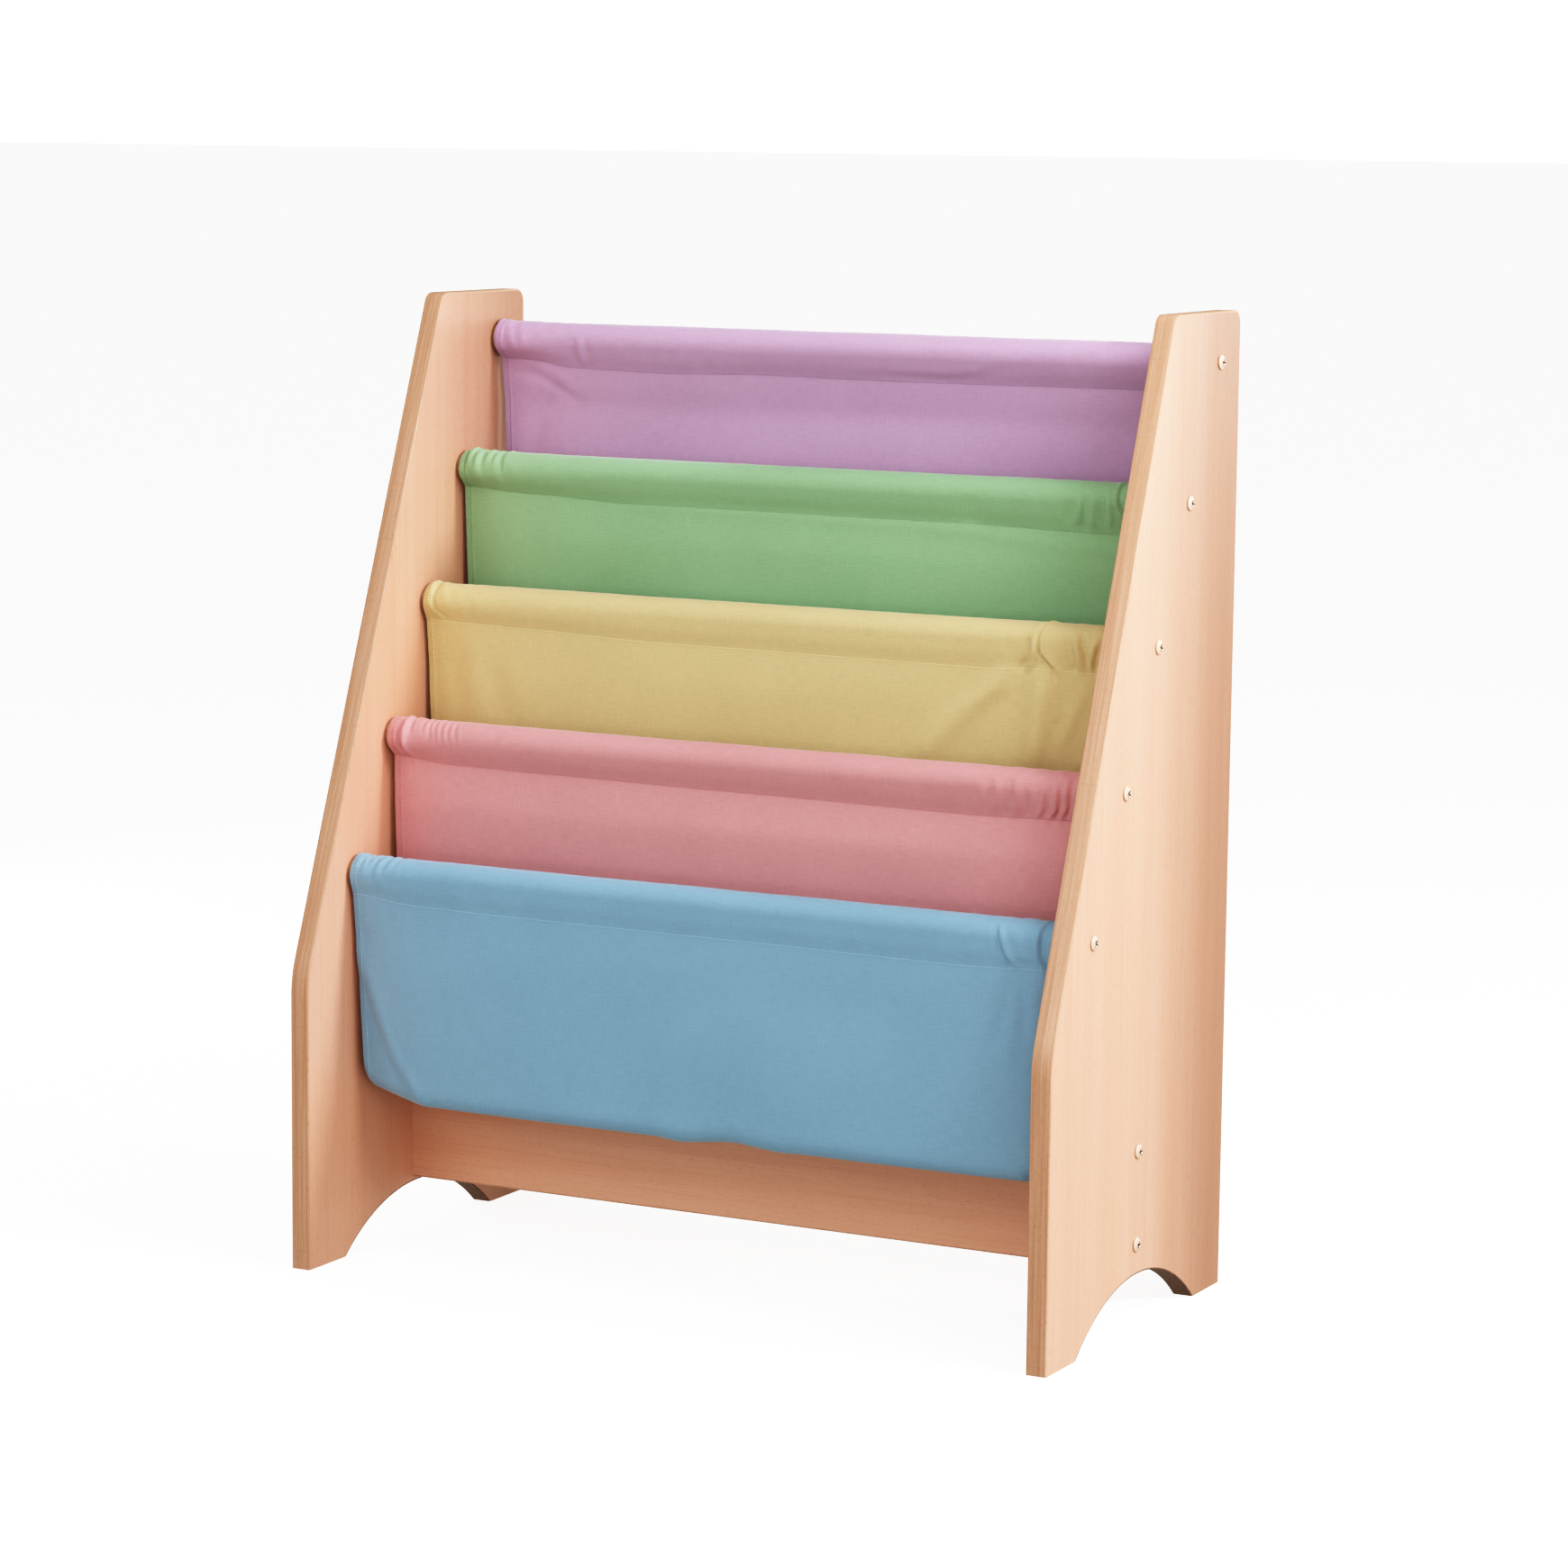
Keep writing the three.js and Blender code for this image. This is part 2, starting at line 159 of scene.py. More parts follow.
sky = bpy.data.worlds.new("sky")
sky.use_nodes = True
bpy.context.scene.world = sky
view_way = node(sky.node_tree, "ShaderNodeTexCoord").outputs["Generated"]
rise = node(sky.node_tree, "ShaderNodeSeparateXYZ", {0: view_way}).outputs["Z"]
sky_tone = below_colour
for (start, end), tone in ((below_rise, horizon_colour), (above_rise, above_colour)):
    risen = node(sky.node_tree, "ShaderNodeMapRange", {
        "Value": rise, "From Min": start, "From Max": end,
    }, interpolation_type="SMOOTHSTEP").outputs[0]
    sky_tone = node(sky.node_tree, "ShaderNodeMix", {
        0: risen, 6: sky_tone, 7: tone,
    }, data_type="RGBA").outputs[2]
sky.node_tree.links.new(sky_tone, sky.node_tree.nodes["Background"].inputs["Color"])


def surface(name, roughness, **constants):
    """A material, its node tree and its Principled surface, with plain values on their own sockets."""
    material = bpy.data.materials.new(name)
    material.use_nodes = True
    shader = material.node_tree.nodes["Principled BSDF"]
    shader.inputs["Roughness"].default_value = roughness
    for socket, value in constants.items():
        shader.inputs[socket.replace("_", " ")].default_value = value
    return material, material.node_tree, shader


floor_paint, _, _ = surface(
    "floor_paint", floor_roughness, Base_Color=floor_colour, Specular_IOR_Level=0,
    Emission_Color=(1, 1, 1, 1), Emission_Strength=floor_glow,
)
floor_mesh = bpy.data.meshes.new("floor")
floor_form = bmesh.new()
bmesh.ops.create_grid(floor_form, x_segments=1, y_segments=1, size=floor_size / 2)
floor_form.to_mesh(floor_mesh)
floor_mesh.materials.append(floor_paint)
studio_floor = bpy.data.objects.new("studio_floor", floor_mesh)
# The floor throws no light of its own up at the shelf
studio_floor.visible_diffuse = False
studio_floor.visible_glossy = False
bpy.context.scene.collection.objects.link(studio_floor)


# Side panels and cross rail
# Boards of 15 mm chipboard faced with a satin laminate that is printed with pale beech. The
# grain runs up the two panels and along the low rail, which is screwed between them.
panel_low, panel_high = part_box("right_panel")
shelf_low, shelf_high = cad_box
board = panel_high.x - panel_low.x

laminate_pale = (0.82, 0.455, 0.32, 1)
laminate_mid = (0.76, 0.39, 0.26, 1)
laminate_deep = (0.655, 0.30, 0.18, 1)
fleck_colour = (0.58, 0.265, 0.155, 1)
laminate_roughness = 0.42
# The print has soft wide bands, streaks, fine lines and short flecks. Each fades in over its
# levels, a range of a noise's values, up to its share. Most of the values lie in noise_middle.
noise_middle = (0.3, 0.7)
grain_band_width = 70 * MM
grain_stretch = 45
streak_width = 7 * MM
streak_levels = (0.25, 0.75)
streak_share = 0.35
line_width = 1.3 * MM
line_stretch = 90
line_levels = (0.5, 0.8)
line_share = 0.35
fleck_width = 0.55 * MM
fleck_length = 5 * MM
fleck_levels = (0.66, 0.74)
fleck_share = 0.4
# How strongly the print shows as relief, and how deep that is
grain_relief = (0.15, 0.1 * MM)
# Painted shade: the panels darken towards their rear edges, over this range in front of them
rear_painted_shade = (0.52, 0.49, 0.45, 1)
rear_shade_start = 190 * MM
rear_shade_end = 5 * MM


def noise_along(tree, place, width, stretch, axis, detail=2.0, roughness=0.5):
    """Noise of one width across the grain, drawn out along axis 0, 1 or 2."""
    scale = [1 / width] * 3
    scale[axis] /= stretch
    drawn = node(tree, "ShaderNodeVectorMath", {0: place, 1: scale}, operation="MULTIPLY").outputs[0]
    return node(tree, "ShaderNodeTexNoise", {
        "Vector": drawn, "Scale": 1.0, "Detail": detail, "Roughness": roughness,
    }).outputs["Fac"]


def spread(tree, value, low, high, to_low=0.0, to_high=1.0):
    """A value's range from low to high drawn out over another range, and held past its ends."""
    return node(tree, "ShaderNodeMapRange", {
        "Value": value, "From Min": low, "From Max": high, "To Min": to_low, "To Max": to_high,
    }).outputs[0]


def mixed(tree, share, first, second, blend="MIX"):
    return node(tree, "ShaderNodeMix", {
        0: share, 6: first, 7: second,
    }, data_type="RGBA", blend_type=blend).outputs[2]


def reckoned(tree, first, operation, second):
    return node(tree, "ShaderNodeMath", {0: first, 1: second}, operation=operation).outputs[0]


def bumped(tree, shader, height, strength, distance):
    bump = node(tree, "ShaderNodeBump", {"Height": height, "Strength": strength, "Distance": distance})
    tree.links.new(bump.outputs["Normal"], shader.inputs["Normal"])


def laminate(name, grain_axis):
    """Printed beech with its grain along axis 0, for the rail, or 2, for the panels."""
    material, tree, shader = surface(name, laminate_roughness)
    place = node(tree, "ShaderNodeTexCoord").outputs["Object"]
    fleck_stretch = fleck_length / fleck_width
    bands = noise_along(tree, place, grain_band_width, grain_stretch, grain_axis, detail=1.0)
    streaks = noise_along(tree, place, streak_width, grain_stretch, grain_axis, detail=3.0)
    lines = noise_along(tree, place, line_width, line_stretch, grain_axis, roughness=0.6)
    flecks = noise_along(tree, place, fleck_width, fleck_stretch, grain_axis, detail=0.0)

    streak_tone = spread(tree, streaks, *streak_levels, -streak_share, streak_share)
    tone = reckoned(tree, spread(tree, bands, *noise_middle), "ADD", streak_tone)
    colour = mixed(tree, spread(tree, tone, 0.0, 1.0), laminate_pale, laminate_mid)
    line_tone = spread(tree, lines, *line_levels, 0.0, line_share)
    colour = mixed(tree, line_tone, colour, laminate_deep)
    fleck_tone = spread(tree, flecks, *fleck_levels, 0.0, fleck_share)
    colour = mixed(tree, fleck_tone, colour, fleck_colour)
    # The panels' colour darkens towards their rear edges as painted shade
    if grain_axis == 2:
        towards_rear_shade = node(tree, "ShaderNodeMapRange", {
            "Value": node(tree, "ShaderNodeSeparateXYZ", {0: place}).outputs["Y"],
            "From Min": shelf_high.y - rear_shade_start,
            "From Max": shelf_high.y - rear_shade_end,
        }, interpolation_type="SMOOTHSTEP").outputs[0]
        colour = mixed(tree, towards_rear_shade, colour, rear_painted_shade, "MULTIPLY")
    tree.links.new(colour, shader.inputs["Base Color"])
    bumped(tree, shader, lines, *grain_relief)
    return material


panel_laminate = laminate("panel_laminate", 2)
rail_laminate = laminate("rail_laminate", 0)


def refinish(name, material):
    """Gives a solid of the CAD model its finish."""
    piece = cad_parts[name]
    piece.data.materials.clear()
    piece.data.materials.append(material)


for side in ("left", "right"):
    refinish(f"{side}_panel", panel_laminate)
refinish("cross_rail", rail_laminate)


# Edge bands
# Strips of plastic, printed with darker beech, glued over the boards' cut edges with their
# corners trimmed to a small round. The foot arches carry a brown strip, darkened as painted shade.
panel_depth = shelf_high.y - shelf_low.y
panel_height = shelf_high.z
top_depth = 118 * MM
knee_height = 218 * MM
knee_radius = 80 * MM
corner_radius = 10 * MM
foot_length = 50 * MM
arch_rise = 39 * MM
band_cover = 1.28 * MM
band_round = 0.9 * MM
band_round_segments = 4
band_lift = 0.2 * MM
band_crisp_angle = math.radians(50)
arc_steps = 20
arch_steps = 48

band_pale = (0.66, 0.39, 0.265, 1)
band_deep = (0.52, 0.275, 0.165, 1)
band_fleck = (0.36, 0.17, 0.08, 1)
# The arch strip's brown is partly its own colour and partly painted shade under the foot arches
arch_brown_and_shade = (0.125, 0.07, 0.048, 1)
band_roughness = 0.4
arch_roughness = 0.5
# The width across the band and the length along it of the print's lines, flecks and marks
band_line_size = (1.6 * MM, 90 * MM)
band_fleck_size = (0.35 * MM, 3.5 * MM)
band_mark_size = (30 * MM, 2.2 * MM)
band_fleck_levels = (0.62, 0.74)
band_fleck_share = 0.3
band_mark_levels = (0.64, 0.78)
band_mark_share = 0.14
band_relief = (0.2, 0.1 * MM)
# The mottle's width, its stretch, the axis that it runs along and its detail
arch_mottle = (2 * MM, 8, 1, 2.0)
arch_mottle_share = 0.5

lean = math.atan2(panel_depth - top_depth, panel_height - knee_height)


def arc(centre, radius, start, end, steps):
    """Places in the side view, as (back, up), on an arc. Its angles go from +back towards +up."""
    turns = [start + (end - start) * step / steps for step in range(steps + 1)]
    return [
        Vector((centre[0] + radius * math.cos(turn), centre[1] + radius * math.sin(turn)))
        for turn in turns
    ]


def long_edge():
    """The panel's edge from the front foot up, over the top and down to the rear foot."""
    knee = (knee_radius, knee_height - knee_radius * math.tan(lean / 2))
    top = panel_height - corner_radius
    front_corner = (panel_depth - top_depth + corner_radius * math.tan((math.pi / 2 - lean) / 2), top)
    return [
        Vector((0, band_lift)),
        *arc(knee, knee_radius, math.pi, math.pi - lean, arc_steps),
        *arc(front_corner, corner_radius, math.pi - lean, math.pi / 2, arc_steps),
        *arc((panel_depth - corner_radius, top), corner_radius, math.pi / 2, 0, arc_steps),
        Vector((panel_depth, band_lift)),
    ]


def arch_edge():
    """The panel's edge over the foot arch, from the rear foot to the front foot."""
    half_chord = panel_depth / 2 - foot_length
    radius = (arch_rise ** 2 + half_chord ** 2) / (2 * arch_rise)
    centre = (panel_depth / 2, arch_rise - radius)
    spring = math.asin((band_lift - centre[1]) / radius)
    return arc(centre, radius, spring, math.pi - spring, arch_steps)


def finished(name, form, material, replaced=(), smooth=None):
    """Turns a bmesh into a piece that rides on the shelf, with edges sharper than smooth kept crisp."""
    mesh = bpy.data.meshes.new(name)
    form.to_mesh(mesh)
    form.free()
    mesh.materials.append(material)
    if smooth is not None:
        mesh.shade_smooth()
        mesh.set_sharp_from_angle(angle=smooth)
    piece = bpy.data.objects.new(name, mesh)
    bpy.context.scene.collection.objects.link(piece)
    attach(piece, "root")
    if replaced:
        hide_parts(*replaced)
    return piece


def crosses_board(edge):
    """True for an edge that runs from one face of the board to the other."""
    return abs(edge.verts[0].co.x - edge.verts[1].co.x) > board / 2


def trim(form, corners):
    """Rounds a band's outer corners."""
    bmesh.ops.bevel(
        form, geom=corners, affect="EDGES", offset=band_round, segments=band_round_segments,
        profile=0.5, material=-1,
    )


def band_form(path, across, outward):
    """A strip along a path in the side view. outward is 1 if its middle faces up, -1 if down."""
    form = bmesh.new()
    verts = [form.verts.new((0, place.x + shelf_low.y, place.y)) for place in path]
    line = [form.edges.new(ends) for ends in zip(verts, verts[1:])]
    drawn = bmesh.ops.extrude_edge_only(form, edges=line)["geom"]
    moved = [item for item in drawn if isinstance(item, bmesh.types.BMVert)]
    bmesh.ops.translate(form, verts=moved, vec=across)
    outer = list(form.faces)
    bmesh.ops.recalc_face_normals(form, faces=outer)
    middle = outer[len(outer) // 2]
    if outward * middle.normal.z < 0:
        bmesh.ops.reverse_faces(form, faces=outer)
    rim = [edge for edge in form.edges if edge.is_boundary and not crosses_board(edge)]
    bmesh.ops.solidify(form, geom=outer, thickness=band_cover)
    trim(form, [edge for edge in rim if edge.is_valid])
    return form


def band_print(name, narrow_axis):
    """Fine lines and flecks along a band, and faint marks across it."""
    material, tree, shader = surface(name, band_roughness)
    place = node(tree, "ShaderNodeTexCoord").outputs["Object"]

    def pattern(size, detail):
        width, length = size
        scale = [1 / length] * 3
        scale[narrow_axis] = 1 / width
        drawn = node(tree, "ShaderNodeVectorMath", {0: place, 1: scale}, operation="MULTIPLY")
        return node(tree, "ShaderNodeTexNoise", {
            "Vector": drawn.outputs[0], "Scale": 1.0, "Detail": detail,
        }).outputs["Fac"]

    lines = pattern(band_line_size, 3.0)
    flecks = pattern(band_fleck_size, 0.0)
    marks = pattern(band_mark_size, 1.0)
    colour = mixed(tree, spread(tree, lines, *noise_middle), band_pale, band_deep)
    fleck_tone = spread(tree, flecks, *band_fleck_levels, 0.0, band_fleck_share)
    colour = mixed(tree, fleck_tone, colour, band_fleck)
    mark_tone = spread(tree, marks, *band_mark_levels, 0.0, band_mark_share)
    colour = mixed(tree, mark_tone, colour, band_fleck)
    tree.links.new(colour, shader.inputs["Base Color"])
    bumped(tree, shader, lines, *band_relief)
    return material


def two_toned(name, roughness, first, second, grain, levels, share=1.0, relief=None):
    """The first colour, and up to a share of the second in a grain of (width, stretch, axis, detail)."""
    material, tree, shader = surface(name, roughness)
    place = node(tree, "ShaderNodeTexCoord").outputs["Object"]
    pattern = noise_along(tree, place, *grain)
    colour = mixed(tree, spread(tree, pattern, *levels, 0.0, share), first, second)
    tree.links.new(colour, shader.inputs["Base Color"])
    if relief:
        bumped(tree, shader, pattern, *relief)
    return material


panel_band_print = band_print("panel_band_print", 0)
rail_band_print = band_print("rail_band_print", 1)
arch_strip_and_shade = two_toned(
    "arch_strip_and_shade", arch_roughness, arch_brown_and_shade, band_fleck, arch_mottle, noise_middle, arch_mottle_share,
)

for side in ("left", "right"):
    low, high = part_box(f"{side}_panel")
    across = Vector((high.x - low.x, 0, 0))
    for part, path, outward, material in (
        ("edge_band", long_edge(), 1, panel_band_print),
        ("arch_band", arch_edge(), -1, arch_strip_and_shade),
    ):
        form = band_form(path, across, outward)
        bmesh.ops.translate(form, verts=form.verts, vec=(low.x, 0, 0))
        name = f"{side}_{part}"
        finished(f"{name}_strip", form, material, [name], band_crisp_angle)

for name, top in (("rail_top_band", True), ("rail_bottom_band", False)):
    low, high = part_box(name)
    form = bmesh.new()
    bmesh.ops.create_cube(form, size=1)
    bmesh.ops.scale(form, verts=form.verts, vec=(high.x - low.x, high.y - low.y, band_cover))
    height = high.z - band_cover / 2 if top else low.z + band_cover / 2
    bmesh.ops.translate(form, verts=form.verts, vec=(0, (low.y + high.y) / 2, height))
    outer = high.z if top else low.z
    corners = [
        edge for edge in form.edges
        if all(abs(vert.co.z - outer) < band_round / 2 for vert in edge.verts)
        and abs(edge.verts[0].co.y - edge.verts[1].co.y) < band_round
    ]
    trim(form, corners)
    finished(f"{name}_strip", form, rail_band_print, [name], band_crisp_angle)


# Dowels
# Five turned hardwood rods, sanded and left bare, each screwed to both panels at its ends.
# They sit inside the cloth tunnels and show only in the narrow gaps beside the panels.
dowel_pale = (0.72, 0.50, 0.31, 1)
dowel_deep = (0.55, 0.34, 0.19, 1)
dowel_roughness = 0.6
dowel_grain = (1.5 * MM, 30, 0, 3.0)
dowel_relief = (0.3, 0.1 * MM)
dowel_count = 5

dowel_wood = two_toned(
    "dowel_wood", dowel_roughness, dowel_pale, dowel_deep, dowel_grain, noise_middle,
    relief=dowel_relief,
)
dowels = []
for number in range(1, dowel_count + 1):
    name = f"dowel_{number}"
    refinish(name, dowel_wood)
    low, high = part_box(name)
    dowels.append((low + high) / 2)
dowel_radius = (high.z - low.z) / 2


# Screws
# Long screws, driven through the panels into the rail and the dowels. The heads are shallow
# domes in cream enamel, with a raised ring round a cross recess whose near-black is painted shade.
head_radius = 5.25 * MM
head_height = 2.6 * MM
head_rim = 0.8 * MM
head_fullness = 0.75
# The flat underside is sunk by head_sink, and the head overhangs it by seat_inset. The rim
# starts at rim_foot, as its inset and height, and is upright up to a share of head_rim.
head_sink = 0.02 * MM
seat_inset = 1.2 * MM
rim_foot = (0.1 * MM, 0.42 * MM)
rim_start = 0.5 * MM
rim_end_share = 0.85
# Where on their arcs the dome and the ring start and end, in radians, and in how many points
dome_turns = (0.12, 1.1, 10)
ring_turns = (0.2, math.pi - 0.2, 7)
ring_radius = 2.4 * MM
ring_height = 0.35 * MM
ring_floor_drop = 0.15 * MM
recess_arm = 2.8 * MM
recess_width = 1.2 * MM
recess_depth = 1.5 * MM
recess_bottom_share = 0.55
recess_mouth_share = 0.75
head_segments = 48
merge_distance = 0.001 * MM
head_crisp_angle = math.radians(35)
# Each screw in turn stopped this much further round, in radians
head_turn = 1.7
cream = (0.78, 0.575, 0.42, 1)
cream_worn = (0.68, 0.46, 0.31, 1)
cream_roughness = 0.45
wear = (1.2 * MM, 1, 0, 3.0)
wear_levels = (0.45, 0.75)
wear_share = 0.35
wear_relief = (0.2, 0.05 * MM)
# The recess's near-black colour is painted shade inside it
recess_painted_shade = (0.05, 0.045, 0.04, 1)
recess_roughness = 0.45

screw_cream = two_toned(
    "screw_cream", cream_roughness, cream, cream_worn, wear, wear_levels, wear_share, wear_relief,
)
recess_shade_metal, _, _ = surface("recess_shade_metal", recess_roughness, Base_Color=recess_painted_shade, Metallic=1.0)


def spun(profile):
    """A closed body turned about +Z. Its profile of (radius, height) starts and ends on the axis."""
    form = bmesh.new()
    verts = [form.verts.new((radius, 0, height)) for radius, height in profile]
    edges = [form.edges.new(ends) for ends in zip(verts, verts[1:])]
    bmesh.ops.spin(
        form, geom=verts + edges, cent=(0, 0, 0), axis=(0, 0, 1), angle=2 * math.pi,
        steps=head_segments, use_merge=True,
    )
    bmesh.ops.remove_doubles(form, verts=form.verts, dist=merge_distance)
    bmesh.ops.recalc_face_normals(form, faces=form.faces)
    return form


def rotate(form, verts, angle, axis):
    bmesh.ops.rotate(form, verts=verts, cent=(0, 0, 0), matrix=Matrix.Rotation(angle, 3, axis))


def cross_cutter():
    """The cross of a recess, narrower at the bottom, with as much above its middle as below."""
    form = bmesh.new()
    for way in (0, math.pi / 2):
        arm = bmesh.ops.create_cone(
            form, segments=4, radius1=recess_bottom_share, radius2=recess_mouth_share,
            depth=1, cap_ends=True,
        )["verts"]
        rotate(form, arm, math.pi / 4, "Z")
        bmesh.ops.scale(form, verts=arm, vec=(2 * recess_arm, recess_width, 2 * recess_depth))
        rotate(form, arm, way, "Z")
    return form


def dome_height(radius):
    share = radius / head_radius
    return head_rim + (head_height - head_rim) * (1 - share ** 2) ** head_fullness


def screw_head():
    """Spun from the middle of the underside round the rim and over the dome and the ring."""
    crown = dome_height(ring_radius)
    dome_radii = [head_radius * math.cos(turn) for turn in np.linspace(*dome_turns)]
    return spun([
        (0, -head_sink),
        (head_radius - seat_inset, -head_sink),
        (head_radius - rim_foot[0], rim_foot[1]),
        (head_radius, rim_start),
        (head_radius, head_rim * rim_end_share),
        *[(radius, dome_height(radius)) for radius in dome_radii],
        *[(ring_radius + ring_height * math.cos(turn), crown + ring_height * math.sin(turn))
          for turn in np.linspace(*ring_turns)],
        (ring_radius - ring_height, crown - ring_floor_drop),
        (0, crown - ring_floor_drop),
    ])


def cut(form, cutter, cutter_level):
    """form minus cutter, made with a Boolean modifier. The cut faces take the second material."""
    pieces = []
    for name, shape, material in (
        ("head_blank", form, screw_cream),
        ("recess_cutter", cutter, recess_shade_metal),
    ):
        mesh = bpy.data.meshes.new(name)
        shape.to_mesh(mesh)
        shape.free()
        mesh.materials.append(material)
        piece = bpy.data.objects.new(name, mesh)
        bpy.context.scene.collection.objects.link(piece)
        pieces.append(piece)
    blank, tool = pieces
    tool.location.z = cutter_level
    carve = blank.modifiers.new("recess", "BOOLEAN")
    carve.operation = "DIFFERENCE"
    carve.solver = "EXACT"
    carve.use_self = True
    carve.material_mode = "TRANSFER"
    carve.object = tool
    bpy.context.view_layer.update()
    graph = bpy.context.evaluated_depsgraph_get()
    result = bpy.data.meshes.new_from_object(blank.evaluated_get(graph))
    for piece in pieces:
        bpy.data.objects.remove(piece)
    return result


head_mesh = cut(screw_head(), cross_cutter(), dome_height(ring_radius))
screw_names = [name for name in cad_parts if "_screw_" in name]
for number, name in enumerate(sorted(screw_names)):
    low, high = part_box(name)
    out = 1 if low.x > 0 else -1
    seat = Vector((out * panel_high.x, (low.y + high.y) / 2, (low.z + high.z) / 2))
    form = bmesh.new()
    form.from_mesh(head_mesh)
    rotate(form, form.verts, number * head_turn, "Z")
    rotate(form, form.verts, out * math.pi / 2, "Y")
    bmesh.ops.translate(form, verts=form.verts, vec=seat)
    head = finished(f"{name}_head", form, screw_cream, [name], head_crisp_angle)
    head.data.materials.append(recess_shade_metal)


# Sling
# Five panels of cotton canvas, sewn end to end with lap seams behind the pocket floors. Each
# is folded over a dowel, stitched right through to make its tunnel, and hemmed at its sides.
cloth = 0.8 * MM
layer_pitch = 1.5 * MM
lap_pitch = 1.2 * MM
tunnel_slack = 0.4 * MM
hem_length = 8 * MM
side_gap = 3.2 * MM
draw_in = 4 * MM
draw_in_start = 4 * MM
# One run of cloth hangs as the back wall of one pocket and the front wall of the next
shoulder_drop = 50 * MM
shoulder_radius = 60 * MM
wall_lead = 8 * MM
edge_lead = 5 * MM
belly_bulge = 2 * MM
pocket_drop = 170 * MM
floor_bend = 10 * MM
back_turn_below = 9 * MM
back_turn_radius = 90 * MM
# The pockets' floors ride up towards both side edges in ear folds of these widths
left_ear = 48 * MM
right_ear = 26 * MM
ear_ramp = 12.5 * MM
ear_corner = 10.5 * MM
ear_corner_width = 9 * MM
seam_setback = 66 * MM
seam_drop = 174 * MM
seam_bend = 4 * MM
lap_length = 15 * MM
# The turned side hems' width, and their thickness as a share of the single cloth's
side_hem = 6.5 * MM
hem_share = 1.45

half_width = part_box("dowel_1")[1].x - side_gap
step_back = dowels[1].y - dowels[0].y
step_up = dowels[1].z - dowels[0].z

